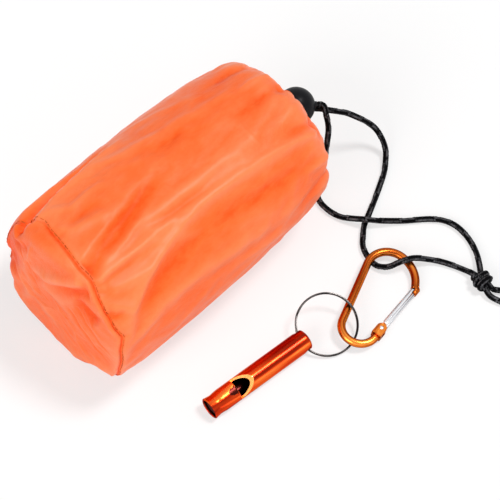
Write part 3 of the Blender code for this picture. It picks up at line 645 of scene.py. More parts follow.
# Finer creases that only the looks need
DETAILS = [
    ([("base", 30, -44), (-54, -38), (-43, -40), (-30, -43), (-16, -46)], -0.9, (0.9, 0.7), (0.1, 0.4)),
    ([(-54.5, 14), (-46, 9), (-39, 7), (-27, 3.6), (-15, -1)], 0.5, (0.9, 1.2), (0.1, 0.4)),
    ([(-52, 25.5), (-44, 21.7), (-37, 20.5), (-25, 15.4), (-12, 9)], 0.45, (0.9, 1.2), (0.1, 0.4)),
    ([(-55, 31), (-47, 31.5), (-40, 33), (-33, 31.5), (-24, 32.5)], -0.7, (1.2, 1.0), (0.05, 0.5)),
    ([(-14, 31), (5, 31), (16, 32), (34, 36), (46, 41)], 0.5, (1.6, 1.8), (0.3, 0.2)),
    ([(-56, 34), (-52, 36)], -0.8, (1.0, 1.0), (0.3, 0.5)),
    ([(-43, -18), (-31, -20), (-21, -18)], 0.5, (1.2, 1.2), (0.3, 0.4)),
    ([(31, 2), (30, 16), (31, 32)], 0.18, (0.5, 0.5), (0.3, 0.3)),
    ([(-10, 2), (-8, 16), (-5, 26)], 0.16, (0.45, 0.45), (0.3, 0.3)),
    ([(12, -8), (22, -2), (33, -4)], -0.2, (0.6, 0.5), (0.3, 0.3)),
    ([(2, 10), (14, 14), (24, 12)], 0.16, (0.6, 0.5), (0.3, 0.3)),
    ([(-6, -24), (4, -20), (10, -22)], -0.2, (0.6, 0.6), (0.3, 0.3)),
    ([("base", 8, -36), ("base", 4, 60), ("base", 15, 132), ("base", 27, 140)], 0.4, (0.8, 0.7), (0.3, 0.3)),
    ([("base", 14, 27), ("base", 14, 71), ("base", 21, 99), ("base", 31, 108)], -0.6, (0.8, 0.7), (0.2, 0.3)),
    ([("base", 17, 29), ("base", 16.5, 62), ("base", 23, 90), ("base", 32, 98)], 0.4, (0.6, 0.6), (0.2, 0.3)),
    ([("base", 20, 33), ("base", 20, 60), ("base", 25, 82), ("base", 32, 89)], -0.5, (0.7, 0.7), (0.2, 0.3)),
    ([("base", 23, 38), ("base", 23.5, 60), ("base", 27, 76)], 0.35, (0.6, 0.6), (0.2, 0.3)),
    ([("base", 20, -60), ("base", 24, -33), ("base", 34, -20)], 0.5, (0.8, 0.8), (0.3, 0.2)),
    ([("base", 12, -110), ("base", 20, -84), ("base", 33, -92)], 0.6, (1.6, 1.4), (0.3, 0.3)),
    ([(16, 32.5), (36, 36), (50, 43), (57, 47)], 0.5, (1.2, 1.2), (0.3, 0.1)),
    ([(34, -10), (47, -12), (57, -10)], 0.8, (1.6, 1.6), (0.6, 0.1)),
    ([(36, -48), (50, -50), (58, -52)], 0.8, (1.6, 1.6), (0.6, 0.1)),
    ([(34, 62), (48, 66), (58, 70)], 0.9, (1.6, 1.6), (0.5, 0.1)),
    ([("base", 31, -42), (-54, -41), (-43, -43.5), (-29, -46), (-14, -48)], -2.6, (2.4, 1.3), (0.15, 0.5)),
    ([(58.5, 60), (58.5, 80), (58, 104)], -1.8, (4.0, 4.0), (0.3, 0.3)),
    ([("base", 27, -56), ("base", 26, -80), ("base", 27, -106)], -2.0, (5.0, 5.0), (0.25, 0.25)),
    ([(56, -38), (59.5, -22), (60.5, -2)], -2.1, (3.2, 3.2), (0.3, 0.2)),
    ([(55, 47), (59.5, 40), (61.5, 34)], -2.3, (2.2, 2.6), (0.3, 0.1)),
    ([("base", 33.5, 124), ("base", 33, 145), ("base", 32, 164)], -1.6, (5.0, 5.0), (0.3, 0.3)),
    ([("base", 22, 30), ("base", 28, 58)], -0.8, (5.0, 4.0), (0.2, 0.2)),
    ([("base", 34.5, -88), ("base", 34.5, -105), ("base", 34, -126)], -3.0, (5.5, 6.0), (0.3, 0.3)),
    ([(57.5, 92), (57.5, 103), (56, 114)], -1.8, (3.6, 3.6), (0.3, 0.3)),
    ([(59, -18), (60, -8), (61, 6)], -1.3, (2.6, 2.6), (0.3, 0.3)),
    ([(50, 6), (57, 5), (60.5, 5)], -1.4, (2.0, 2.6), (0.5, 0.1)),
    ([(-50, 150), (-18, 146), (10, 152)], 0.7, (2.2, 2.2), (0.2, 0.5)),
    ([(-54, -104), (-32, -106), (-12, -102)], 0.7, (1.8, 1.8), (0.1, 0.6)),
]
def nearest(points, places):
    """For each point: offset from a line on the sack, its length, how far along, and the line's direction."""
    ends = [place(*spot) for spot in places]
    runs, angles = np.array([e[0] for e in ends]), np.array([e[1] for e in ends], float)
    share, knots = np.linspace(0, len(ends) - 1, 6 * len(ends)), np.arange(len(ends))
    line = body_points(np.interp(share, knots, runs), np.interp(share, knots, angles))
    best, where = np.full(len(points), 1e9), np.zeros(len(points))
    offset, direction = np.zeros((len(points), 3)), np.zeros((len(points), 3))
    for i in range(len(line) - 1):
        a, along = line[i], line[i + 1] - line[i]
        t = np.clip((points - a) @ along / max(along @ along, 1e-9), 0, 1)
        away = points - (a + t[:, None] * along)
        gap = np.linalg.norm(away, axis=1)
        nearer = gap < best
        best[nearer], where[nearer] = gap[nearer], (i + t[nearer]) / (len(line) - 1)
        offset[nearer], direction[nearer] = away[nearer], along / np.linalg.norm(along)
    return offset, best, where, direction

def faded(along, fades):
    """Share of a fold's height along its line, from 0 at both ends."""
    share = np.clip(along / fades[0], 0, 1) * np.clip((1 - along) / fades[1], 0, 1)
    return share * share * (3 - 2 * share)

def fold_lift(points, normal):
    """How far each point is pushed out by the folds, creases and steps that pass near it."""
    lift = np.zeros(len(points))
    for places, height, widths, fades in FOLDS + DETAILS:
        _, gap, along, _ = nearest(points, places)
        width = widths[0] + (widths[1] - widths[0]) * along
        lift += height * faded(along, fades) * np.exp(-(gap / width) ** 2)
    for places, height, (cliff, reach), fades in STEPS:
        offset, gap, along, direction = nearest(points, places)
        left = np.sum(offset * np.cross(normal, direction), axis=1) > 0
        gap = np.where(left, gap, -gap)
        climb = 0.5 + 0.5 * np.tanh(gap / cliff)
        lift += height * faded(along, fades) * climb * np.exp(-np.maximum(0, gap) / reach)
    return lift

print(len(FOLDS), "folds,", len(STEPS), "steps,", len(DETAILS), "creases")

# %% [markdown]
# ## The folded surface
# The height of the fabric over the plain body is a sum: drawn folds, pleats that deepen towards the gathered
# mouth, the groove of the base seam, the lapped side seam, and low noise that keeps it from looking machined.
# A Displace modifier with textures could add such heights. Plain functions are used, because the stitches
# and the simulation have to find the same surface.

# %% Fabric height
PLEATS, PLEAT_HEIGHT, PLEATS_FROM_X = 19, 1.35, 50.0
SIDE_SEAM_ANGLE, SIDE_SEAM_HALF = -125.0, 3.0
GIRTH_RADIUS = 36.0
PRESSED_UNDER = 0.4
def pleat_lift(run, angle):
    """Radial pleats of uneven width that grow from the shoulder into the gathered mouth."""
    start, end = float(run_at_x(PLEATS_FROM_X)), profile_run[-1]
    grown_in = np.clip((run - start) / (end - start), 0, 1)
    a = np.radians(angle)
    uneven = a * PLEATS + 0.9 * np.sin(2 * a + 0.7) + 0.7 * np.sin(3 * a + 2.1) + 0.5 * np.sin(5 * a + 4)
    height = PLEAT_HEIGHT * grown_in ** 1.1 * (1 + 0.35 * np.sin(4 * a + 1.3))
    return height * (np.abs(np.sin(uneven / 2)) ** 0.8 * 1.6 - 1.0)

def soft_noise(points, size, seed):
    """Smooth noise at each point, with bumps of about the size given."""
    shift = Vector((seed * 7.13, seed * 3.71, seed * 5.37))
    return np.array([noise.noise(Vector(p) / size + shift) for p in points])

def seam_dip(run, angle):
    """The groove at the seam, with the raised welt of the turned-in edges beside it."""
    gap = run - seam_run(angle)
    return -0.75 * np.exp(-(np.abs(gap) / 0.55) ** 1.3) + 0.35 * np.exp(-((gap + 1.7) / 1.0) ** 2) \
        + 0.25 * np.exp(-((gap - 1.5) / 0.8) ** 2)

def side_seam_step(run, angle):
    """The lapped side seam at the low back: a narrow raised band."""
    gap = np.abs(angle - SIDE_SEAM_ANGLE) * 0.64
    inside = np.clip((run - seam_run(angle)) / 3, 0, 1)
    return 0.35 * inside * (1 - np.tanh((gap - SIDE_SEAM_HALF) * 2)) / 2

def fabric(run, angle):
    """Points of the plain body, outward normals and the fabric's height over it, at runs and angles."""
    plain = body_points(run, angle)
    ahead, behind = np.minimum(run + 0.3, profile_run[-1]), np.maximum(run - 0.3, 0)
    along = body_points(ahead, angle) - body_points(behind, angle)
    around = body_points(run, angle + 0.5) - body_points(run, angle - 0.5)
    normal = np.cross(around, along)
    size = np.linalg.norm(normal, axis=1, keepdims=True)
    normal = np.where(size > 1e-9, normal / np.maximum(size, 1e-9), (-1.0, 0.0, 0.0))
    height = (fold_lift(plain, normal) + pleat_lift(run, angle) + seam_dip(run, angle)
              + side_seam_step(run, angle))
    height += 0.5 * soft_noise(plain * (0.5, 1, 1), 14.0, 1) + 0.22 * soft_noise(plain * (0.6, 1, 1), 5.0, 2)
    return plain, normal, height

def pressed_flat(points):
    """Fabric under the floor is pressed up to it."""
    z = points[:, 2]
    points[:, 2] = np.where(z < PRESSED_UNDER, PRESSED_UNDER * np.exp((z - PRESSED_UNDER) / 2.0), z)
    return points

# %% [markdown]
# ## Wrinkles from a cloth simulation
# Drawn folds give the sack its main shape. The small wrinkles, which nobody would place by hand, come from
# Blender's cloth: a coarse copy of the fabric, ten times life size, grows a few per cent round a hard core
# while its seam and mouth are held. Suction keeps it on the core, so the spare cloth buckles. Only how far
# each point moved is kept, and the fine panels read that.

# %% Cloth simulation
CLOTH_COLUMNS, BASE_ROWS, SIDE_ROWS = 128, 15, 66
POLE_SHARE = 0.08
LIFE_TIMES = 10.0
CORE_UNDER = 0.9
MOST_MOVED = 1.5
def coarse_copy():
    """Run and angle of each point of the coarse copy, row by row from near the base's middle to the mouth."""
    angles = np.linspace(-180, 180, CLOTH_COLUMNS, endpoint=False)
    seam = seam_run(angles)
    share = np.linspace(0, 1, SIDE_ROWS + 1)[1:, None]
    base = np.linspace(POLE_SHARE, 1, BASE_ROWS)[:, None] * seam
    side = seam * (1 - share) + profile_run[-1] * share
    runs = np.vstack([base, side])
    return runs.ravel(), np.repeat(angles[None, :], len(runs), 0).ravel()

def widely_averaged(values, reach=8):
    """Mean of each value's wide surroundings, taken off so that the cloth wrinkles but doesn't swell."""
    for _ in range(2):
        rows = np.pad(values, ((reach, reach), (0, 0)), mode="edge")
        values = sum(rows[i:i + len(values)] for i in range(2 * reach + 1)) / (2 * reach + 1)
        values = sum(np.roll(values, k, axis=1) for k in range(-reach, reach + 1)) / (2 * reach + 1)
    return values

def simulated(frames=26):
    """How far each point of the coarse copy moves, by row and column, in millimetres."""
    run, angle = coarse_copy()
    plain, normal, height = fabric(run, angle)
    start = pressed_flat(plain + normal * height[:, None])
    faces = [tuple(f) for f in grid_faces(BASE_ROWS + SIDE_ROWS, CLOTH_COLUMNS)]
    core = link("core", mesh_from("core", (start - normal * CORE_UNDER) * LIFE_TIMES, faces))
    core.modifiers.new("hard", "COLLISION")
    core.collision.thickness_outer = 0.002
    cloth = link("cloth", mesh_from("cloth", start * LIFE_TIMES, faces))
    held = cloth.vertex_groups.new(name="held")
    row = np.arange(len(run)) // CLOTH_COLUMNS
    fixed = (row == 0) | (row == BASE_ROWS - 1) | (row >= BASE_ROWS + SIDE_ROWS - 2)
    held.add([int(i) for i in np.flatnonzero(fixed)], 1.0, "REPLACE")
    modifier = cloth.modifiers.new("cloth", "CLOTH")
    settings = modifier.settings
    settings.quality, settings.mass, settings.air_damping = 6, 0.12, 2.0
    settings.tension_stiffness, settings.compression_stiffness, settings.shear_stiffness = 12.0, 12.0, 4.0
    settings.bending_stiffness = 0.15
    settings.vertex_group_mass = "held"
    settings.shrink_min = -0.045
    settings.use_pressure, settings.uniform_pressure_force = True, -0.6
    settings.effector_weights.gravity = 0.0
    modifier.collision_settings.distance_min = 0.004
    modifier.point_cache.frame_start, modifier.point_cache.frame_end = 1, frames
    for frame in range(1, frames + 1):
        scene.frame_set(frame)
    settled = cloth.evaluated_get(bpy.context.evaluated_depsgraph_get()).to_mesh()
    points = np.empty(len(run) * 3)
    settled.vertices.foreach_get("co", points)
    scene.frame_set(1)
    for obj in (cloth, core):
        bpy.data.objects.remove(obj, do_unlink=True)
    moved = points.reshape(-1, 3) / (MM * LIFE_TIMES) - start
    swelling = np.sum(moved * normal, axis=1).reshape(-1, CLOTH_COLUMNS)
    moved -= normal * widely_averaged(swelling).reshape(-1, 1)
    size = np.maximum(np.linalg.norm(moved, axis=1, keepdims=True), 1e-9)
    moved *= MOST_MOVED * np.tanh(size / MOST_MOVED) / size
    print("cloth moved", np.round(size.mean(), 2), "mm on average,", np.round(size.max(), 2), "mm at most;",
          "taken off for swelling", np.round(swelling.mean(), 2), "mm")
    return moved.reshape(BASE_ROWS + SIDE_ROWS, CLOTH_COLUMNS, 3)

moved = simulated()
def blend_weight(away):
    """Cubic B-spline weight of a coarse point by its distance in rows or columns."""
    away = np.abs(away)
    return np.where(away < 1, 2 / 3 - away ** 2 + away ** 3 / 2, np.maximum(0, 2 - away) ** 3 / 6)

def wrinkle(run, angle):
    """How far the simulated cloth moved at any run and angle, read smoothly from the coarse copy."""
    seam = seam_run(angle)
    on_base = (run / seam - POLE_SHARE) / (1 - POLE_SHARE) * (BASE_ROWS - 1)
    on_side = BASE_ROWS - 1 + (run - seam) / (profile_run[-1] - seam) * SIDE_ROWS
    row = np.clip(np.where(run < seam, on_base, on_side), 0, len(moved) - 1)
    column = (angle + 180) / 360 * CLOTH_COLUMNS
    first_row, first_column = np.floor(row).astype(int), np.floor(column).astype(int)
    total = np.zeros((len(row), 3))
    for i in range(-1, 3):
        for k in range(-1, 3):
            weight = blend_weight(row - first_row - i) * blend_weight(column - first_column - k)
            near = moved[np.clip(first_row + i, 0, len(moved) - 1), (first_column + k) % CLOTH_COLUMNS]
            total += weight[:, None] * near
    return total

def fabric_surface(run, angle):
    """Points of the finished fabric, and how much each one stands out from the plain body."""
    plain, normal, height = fabric(run, angle)
    shift = wrinkle(run, angle)
    return pressed_flat(plain + normal * height[:, None] + shift), height + np.sum(shift * normal, axis=1)

# %% [markdown]
# ## Side and base panels
# Both panels are fine grids on the folded surface and meet at the seam, where each edge turns a little
# inwards. Unwrapping them would cut the weave at every seam of the map. So the map is the run and the angle
# in metres, and an attribute tells the material how far the fabric stands out: it paints shade in the folds
# and a pale sheen on the raised parts.

# %% Panels
AROUND, SIDE_STEPS, BASE_STEPS = 288, 210, 90
POLE_HOLE = 0.012
SHADE_FROM, SHADE_OVER = 0.1, 1.3
def panel(name, runs, pole=False):
    """Panel whose rows of points have one run for each angle; pole closes it in the middle of the base."""
    rows = runs.shape[0]
    run, angle = runs.ravel(), np.tile(np.linspace(-180, 180, AROUND, endpoint=False), rows)
    points, height = fabric_surface(run, angle)
    # Painted shade and sheen: low in the folds, where the material paints deep shade, and high where the
    # fabric stands out, where it paints a pale sheen.
    stretched_and_shade = 0.5 + 0.5 * np.tanh((height - SHADE_FROM) / SHADE_OVER)
    faces = [tuple(f) for f in grid_faces(rows, AROUND)]
    uv = np.stack([np.radians(angle) * GIRTH_RADIUS, run], -1) * MM
    if pole:
        points = np.vstack([points, points[:AROUND].mean(0)])
        uv = np.vstack([uv, uv[:AROUND].mean(0)])
        stretched_and_shade = np.append(stretched_and_shade, stretched_and_shade[:AROUND].mean())
        faces += [((i + 1) % AROUND, i, rows * AROUND) for i in range(AROUND)]
    mesh = mesh_from(name, points, faces)
    layer = mesh.uv_layers.new(name="cloth")
    corners = np.empty(len(mesh.loops), np.int32)
    mesh.loops.foreach_get("vertex_index", corners)
    spread = uv[corners]
    round_trip = 2 * pi * GIRTH_RADIUS * MM
    starts = np.array([p.loop_start for p in mesh.polygons])
    totals = np.array([p.loop_total for p in mesh.polygons])
    owner = np.repeat(np.arange(len(starts)), totals)
    first = spread[starts][owner, 0]
    spread[:, 0] += round_trip * np.round((first - spread[:, 0]) / round_trip)
    layer.data.foreach_set("uv", spread.ravel().astype(np.float32))
    mesh.attributes.new("stretched_and_shade", "FLOAT", "POINT").data.foreach_set("value", stretched_and_shade.astype(np.float32))
    return link(name, mesh)

seam_at = seam_run(np.linspace(-180, 180, AROUND, endpoint=False))
share = np.linspace(0, 1, SIDE_STEPS)[:, None]
side_panel = panel("side_panel", seam_at * (1 - share) + profile_run[-1] * share)
share = np.linspace(POLE_HOLE, 1, BASE_STEPS)[:, None]
base_panel = panel("base_panel", seam_at * share, pole=True)
print("side panel", len(side_panel.data.polygons), "faces, base panel", len(base_panel.data.polygons))

# %% [markdown]
# ## Hem
# The hem is a narrow tube of the same fabric, drawn so tight that it ruffles. A plain torus would look like
# rubber, so its section pinches unevenly on the way round. Its channel is hollow and open towards the lock,
# where the cord comes out.

# %% Mouth hem
HEM_SECTION, CHANNEL_SECTION = 2.85, 1.75
def ruffled_ring(radius, ruffle, around=192, section=24):
    """Ring of a round section that pinches and swells by a share of its radius."""
    rows = []
    for i in range(around):
        a = 2 * pi * i / around
        pinch = 1 + ruffle * (0.6 * sin(19 * a + 0.9 * sin(2 * a)) + 0.4 * sin(11 * a + 1.7))
        ring = HEM_RADIUS + 0.25 * ruffle * sin(7 * a)
        row = []
        for k in range(section):
            b = 2 * pi * k / section
            x, r = HEM_X + radius * pinch * cos(b), ring + radius * pinch * sin(b)
            row.append((x, r * cos(a), SACK_AXIS_Z + r * sin(a)))
        rows.append(row)
    return np.array(rows).reshape(-1, 3), [tuple(f) for f in grid_faces(around, section, True, True)]

hem = mesh_piece("gathered_hem", *ruffled_ring(HEM_SECTION, 0.1), angle=60)
channel, channel_faces = ruffled_ring(CHANNEL_SECTION, 0.0, 96, 20)
slot_low = (HEM_X - 0.4, HEM_RADIUS - 2.4, SACK_AXIS_Z - 3.9)
slot_high = (HEM_X + 3.9, HEM_RADIUS + 2.4, SACK_AXIS_Z + 3.9)
combined(hem, [
    (outward(mesh_from("channel", channel, channel_faces)), "DIFFERENCE"),
    (block_mesh(slot_low, slot_high, Matrix()), "DIFFERENCE"),
], bevel=0.3)
hem.data.shade_smooth()
print("hem", len(hem.data.polygons), "faces")

# %% [markdown]
# ## Stitches
# One lockstitch is a short thread that dives into the fabric at both ends. An Array modifier on a curve
# would twist off the cloth. Geometry Nodes repeats the stitch along the seam instead, each one turned to the
# line and to the fabric's normal.

# %% Stitch group
LEAST_STITCH, LARGEST_STITCH = 0.86, 1.12
def stitch_group():
    """A short arched thread at even places along a line, turned to it and to its normals."""
    group, t, given, result = geometry_group(
        "stitches", ("Spacing", "Length", "Thread Radius", "Rise"), ("Seed",))
    path = t.add("GeometryNodeMeshToCurve", {"Mesh": given.outputs["Geometry"]})
    line = t.add("GeometryNodeResampleCurve", {
        "Curve": path.outputs[0], "Length": given.outputs["Spacing"]}, mode="LENGTH")
    up = t.add("GeometryNodeInputNamedAttribute", {"Name": "up"}, data_type="FLOAT_VECTOR").outputs[0]
    spots = t.add("GeometryNodeCurveToPoints", {"Curve": line.outputs[0]}, mode="EVALUATED")
    turn = t.add("FunctionNodeAxesToRotation", {
        "Primary Axis": up, "Secondary Axis": spots.outputs["Tangent"]}, primary_axis="Z", secondary_axis="X")
    start = t.add("ShaderNodeCombineXYZ", {"X": t.maths("MULTIPLY", given.outputs["Length"], -0.5)})
    end = t.add("ShaderNodeCombineXYZ", {"X": t.maths("MULTIPLY", given.outputs["Length"], 0.5)})
    middle = t.add("ShaderNodeCombineXYZ", {"Z": given.outputs["Rise"]})
    arch = t.add("GeometryNodeCurveQuadraticBezier", {
        "Resolution": 8, "Start": start.outputs[0], "Middle": middle.outputs[0], "End": end.outputs[0]})
    ring = t.add("GeometryNodeCurvePrimitiveCircle", {
        "Resolution": 8, "Radius": given.outputs["Thread Radius"]}, mode="RADIUS")
    thread = t.add("GeometryNodeCurveToMesh", {
        "Curve": arch.outputs[0], "Profile Curve": ring.outputs[0], "Fill Caps": True})
    wobble = t.add("FunctionNodeRandomValue", {"Seed": given.outputs["Seed"]}, data_type="FLOAT")
    # Sockets 2 and 3 are the least and the largest of a random number, and output 1 gives it
    t.put(wobble.inputs[2], LEAST_STITCH)
    t.put(wobble.inputs[3], LARGEST_STITCH)
    copies = t.add("GeometryNodeInstanceOnPoints", {
        "Points": spots.outputs["Points"], "Instance": thread.outputs[0], "Rotation": turn.outputs[0],
        "Scale": wobble.outputs[1]})
    finish_group(t, copies.outputs[0], given, result)
    return group

stitches = stitch_group()
seam_thread = bpy.data.materials.new("seam_thread")

STITCH = {"Spacing": 2.5 * MM, "Length": 1.9 * MM, "Rise": 0.42 * MM, "Thread Radius": 0.17 * MM}
THREAD_LIFT, PAST_SEAM, SIDE_SEAM_X = 0.02, 0.9, (-53.0, 53.0)
BASE_PLACES, SIDE_PLACES = 900, 400
def surface_at(run, angle):
    """Points and outward normals of the finished fabric at places along the profile."""
    def spots(r, a):
        return fabric_surface(r, a)[0]
    around = spots(run, angle + 0.6) - spots(run, angle - 0.6)
    along = spots(run + 0.4, angle) - spots(run - 0.4, angle)
    up = np.cross(around, along)
    return spots(run, angle), up / np.linalg.norm(up, axis=1, keepdims=True)

def stitched(name, run, angle, seed):
    """Row of stitches along places on the sack."""
    spot, up = surface_at(run, angle)
    mesh = bpy.data.meshes.new(name)
    points = ((spot + up * THREAD_LIFT) * MM).tolist()
    mesh.from_pydata(points, [(i, i + 1) for i in range(len(points) - 1)], [])
    normals = mesh.attributes.new("up", "FLOAT_VECTOR", "POINT").data
    normals.foreach_set("vector", up.ravel().astype(np.float32))
    return grown(link(name, mesh), stitches, Material=seam_thread, Seed=seed, **STITCH)

angle = np.linspace(-180, 180, BASE_PLACES)
base_stitches = stitched("base_seam_stitches", seam_run(angle) + PAST_SEAM, angle, 3)
side_from, side_to = [float(run_at_x(x)) for x in SIDE_SEAM_X]
run = np.linspace(side_from, side_to, SIDE_PLACES)
side_stitches = stitched("side_seam_stitches", run, np.full(SIDE_PLACES, SIDE_SEAM_ANGLE), 5)
print("stitches:", len(base_stitches.data.polygons), len(side_stitches.data.polygons), "faces")

# %% [markdown]
# ## The rolled bag inside
# Nobody sees it while the mouth is drawn, but it is what fills the sack: a thin film bag wound in a spiral.
# A solid cylinder would do for the eye. The spiral is one closed strip instead, so that it is right when the
# sack is cut open or taken apart, and small creases make it uneven.

# %% Rolled film bag
ROLL_AXIS_Z, ROLL_X = 32.7, (-54.6, 39.6)
ROLL_INNER, ROLL_PITCH, ROLL_LAYER = 3.3, 5.0, 3.8
ROLL_TURNS, ROLL_START = 4.6, radians(55)
def film_roll():
    """Points and faces of one thick strip wound round the roll's axis."""
    rows, steps = [], 330
    along = np.linspace(ROLL_X[0], ROLL_X[1], 26)
    for i in range(steps + 1):
        wound = 2 * pi * ROLL_TURNS * i / steps
        a = ROLL_START + wound
        crease = 0.2 * sin(9 * wound) + 0.15 * sin(23 * wound + 1)
        inner = ROLL_INNER + ROLL_PITCH * wound / (2 * pi)
        row = []
        for x in along:
            low = inner + crease * sin(x / 7)
            row.append((x, low * cos(a), ROLL_AXIS_Z + low * sin(a)))
        for x in along[::-1]:
            high = inner + ROLL_LAYER + 0.3 * crease * cos(x / 9)
            row.append((x, high * cos(a), ROLL_AXIS_Z + high * sin(a)))
        rows.append(row)
    columns = len(rows[0])
    faces = [tuple(f) for f in grid_faces(steps + 1, columns)]
    faces += [tuple(range(columns))[::-1], tuple(range(steps * columns, (steps + 1) * columns))]
    return np.array(rows).reshape(-1, 3), faces

roll = mesh_piece("rolled_film_bag", *film_roll(), angle=50)
print("roll", len(roll.data.polygons), "faces")

# %% [markdown]
# ## Cord lock
# A ball with a short skirt, moulded with its bore and slotted for the two cord legs. The button slides in
# the bore on a conical spring, and its window lets the cord through when pressed. It could be modelled from
# a sphere by hand. Turning a profile and cutting it with Booleans keeps every wall at its measured size.

# %% Cord lock
LOCK_RADIUS, LOCK_BORE = 7.7, 3.6
SLOT_WIDTH, SLOT_HEIGHT, SLOT_ROUNDING = 3.2, 6.2, 1.2
PAST_LOCK = 9.7
COIL_RADII, COIL_WIRE, COIL_TURNS = (2.8, 1.2), 0.18, 3.0
COIL_LOW, COIL_HIGH = 4.12, 6.38
down = to_lock @ Matrix.Rotation(pi / 2, 4, "Y")
ball = [(LOCK_RADIUS * sin(radians(a)), LOCK_RADIUS * cos(radians(a))) for a in np.linspace(-90, 25, 40)]
ball[0] = (-LOCK_RADIUS, 0.0)
skirt = [(3.45, 6.88), (3.6, 6.72), (3.85, 6.74), (7.4, 5.42), (7.8, 5.16), (8.0, 4.8), (8.0, 4.0),
         (7.85, 3.72), (7.6, LOCK_BORE)]
bore = [(-5.9, LOCK_BORE), (-6.4, 3.4), (-6.6, 3.0), (-6.6, 0.0)]
def rounded_rectangle(width, height, rounding, steps):
    """Outline round the middle, with so many steps round each corner."""
    outline = []
    for corner, (su, sv) in enumerate(((1, 1), (-1, 1), (-1, -1), (1, -1))):
        for k in range(steps + 1):
            a = radians(90 * corner + 90 * k / steps)
            u = su * (width / 2 - rounding) + rounding * cos(a)
            v = sv * (height / 2 - rounding) + rounding * sin(a)
            outline.append((u, v))
    return outline

lock_ball = mesh_piece("lock_ball", *lathe(ball + skirt + bore, 64), down)
slot_outline = rounded_rectangle(SLOT_WIDTH, SLOT_HEIGHT, SLOT_ROUNDING, 6)
cord_slot = prism_mesh(slot_outline, -PAST_LOCK, PAST_LOCK, to_lock, "X")
combined(lock_ball, [(cord_slot, "DIFFERENCE")], bevel=0.35, segments=3)
button_profile = [
    (-3.9, 0.0), (-3.9, 3.0), (-3.6, 3.3), (8.3, 3.3), (9.1, 3.12), (9.55, 2.6), (9.7, 1.9), (9.62, 1.0),
    (9.55, 0.0)]
lock_button = mesh_piece("lock_button", *lathe(button_profile, 48), down)
button_window = block_mesh((-PAST_LOCK, -1.6, -5.3), (PAST_LOCK, 1.6, 3.1), to_lock)
combined(lock_button, [(button_window, "DIFFERENCE")], bevel=0.2)
def helix(radii, low, high, turns, steps):
    """Points of a coil about Z, with its first and last radius and so many steps to a turn."""
    share = np.linspace(0, 1, round(turns * steps) + 1)
    a, r = 2 * pi * turns * share, radii[0] + (radii[1] - radii[0]) * share
    return np.stack([r * np.cos(a), r * np.sin(a), low + (high - low) * share], 1)

coil_line = placed(helix(COIL_RADII, COIL_LOW, COIL_HIGH, COIL_TURNS, 30), to_lock)
lock_coil = mesh_piece("lock_coil", *sweep(coil_line, circle(COIL_WIRE, 10)))
print("lock", len(lock_ball.data.polygons), "button", len(lock_button.data.polygons), "faces")

# %% [markdown]
# ## Lines for drawn metal
# Bar, wire and tube are drawn through a die, which leaves faint streaks along them, and their colour also
# carries painted reflections, light and dark bands along them. A texture on object coordinates would run
# straight through a bend. So each metal piece carries an attribute that says where a point lies round its own
# line and how far along it, and the material stretches its noise along that.

# %% Mark drawn metal
def mark_drawn(piece, line):
    """Writes each vertex's place round and along the line that the metal was drawn along."""
    line = np.asarray(line, float)
    spots = np.empty(len(piece.data.vertices) * 3)
    piece.data.vertices.foreach_get("co", spots)
    spots = spots.reshape(-1, 3) / MM
    near = np.argmin(((spots[:, None, :] - line[None, :, :]) ** 2).sum(2), axis=1)
    along = np.gradient(line, axis=0)[near]
    along /= np.linalg.norm(along, axis=1, keepdims=True)
    out = spots - line[near]
    out -= np.sum(out * along, axis=1, keepdims=True) * along
    out /= np.maximum(np.linalg.norm(out, axis=1, keepdims=True), 1e-6)
    up = np.cross(along, np.cross((0.0, 0.0, 1.0), along))
    up /= np.linalg.norm(up, axis=1, keepdims=True)
    across = np.cross(along, up)
    steps = np.concatenate([[0], np.cumsum(np.linalg.norm(np.diff(line, axis=0), axis=1))])
    drawn = np.stack([np.sum(out * up, axis=1), np.sum(out * across, axis=1), steps[near] / 10], 1)
    piece.data.attributes.new("drawn", "FLOAT_VECTOR", "POINT").data.foreach_set("vector", drawn.ravel())

print("metal marker ready")

# %% [markdown]
# ## Carabiner
# Bent bar with a forked end for the gate and a collar at the nose. The gate is a lighter bar on a riveted
# pin, with a thin spring in its bore. A curve with a bevel could make the bar. A swept circle along arcs
# gives the same and joins cleanly with the fork, and the lap joint at the nose is then cut from both parts.

# %% Carabiner
CARABINER_AT, CARABINER_TURN = (28.93, -67.7, 5.3), (7.5, 1.3, 24.1)
GATE_PIVOT, GATE_ANGLE = (-0.5, -15.3, 0.0), -15.2
BAR_RADIUS, GATE_RADIUS = 1.65, 1.5
TOP, BOTTOM = ((25.2, -9.0), 9.0), ((-3.0, -7.3), 7.3)
NOSE_RADIUS, NOSE_FROM, NOSE_TO = 13.3, -15.0, -76.0
FORK_RADIUS, FORK_HALF, FORK_SLOT_HALF = 2.1, 2.0, 1.2
TONGUE_RADIUS, TONGUE_HALF = 1.4, 0.9
PIN_HOLE, PAST = 0.8, 4.0
to_carabiner = pose(CARABINER_AT, CARABINER_TURN)
gate_turn = Matrix.Translation(GATE_PIVOT) @ Matrix.Rotation(radians(GATE_ANGLE), 4, "Z")
to_gate = to_carabiner @ gate_turn
def arc(centre, radius, start, end, steps):
    """Points of an arc on the plane z = 0 between two angles in degrees."""
    angles = [radians(start + (end - start) * i / steps) for i in range(steps + 1)]
    return [(centre[0] + radius * cos(a), centre[1] + radius * sin(a), 0.0) for a in angles]

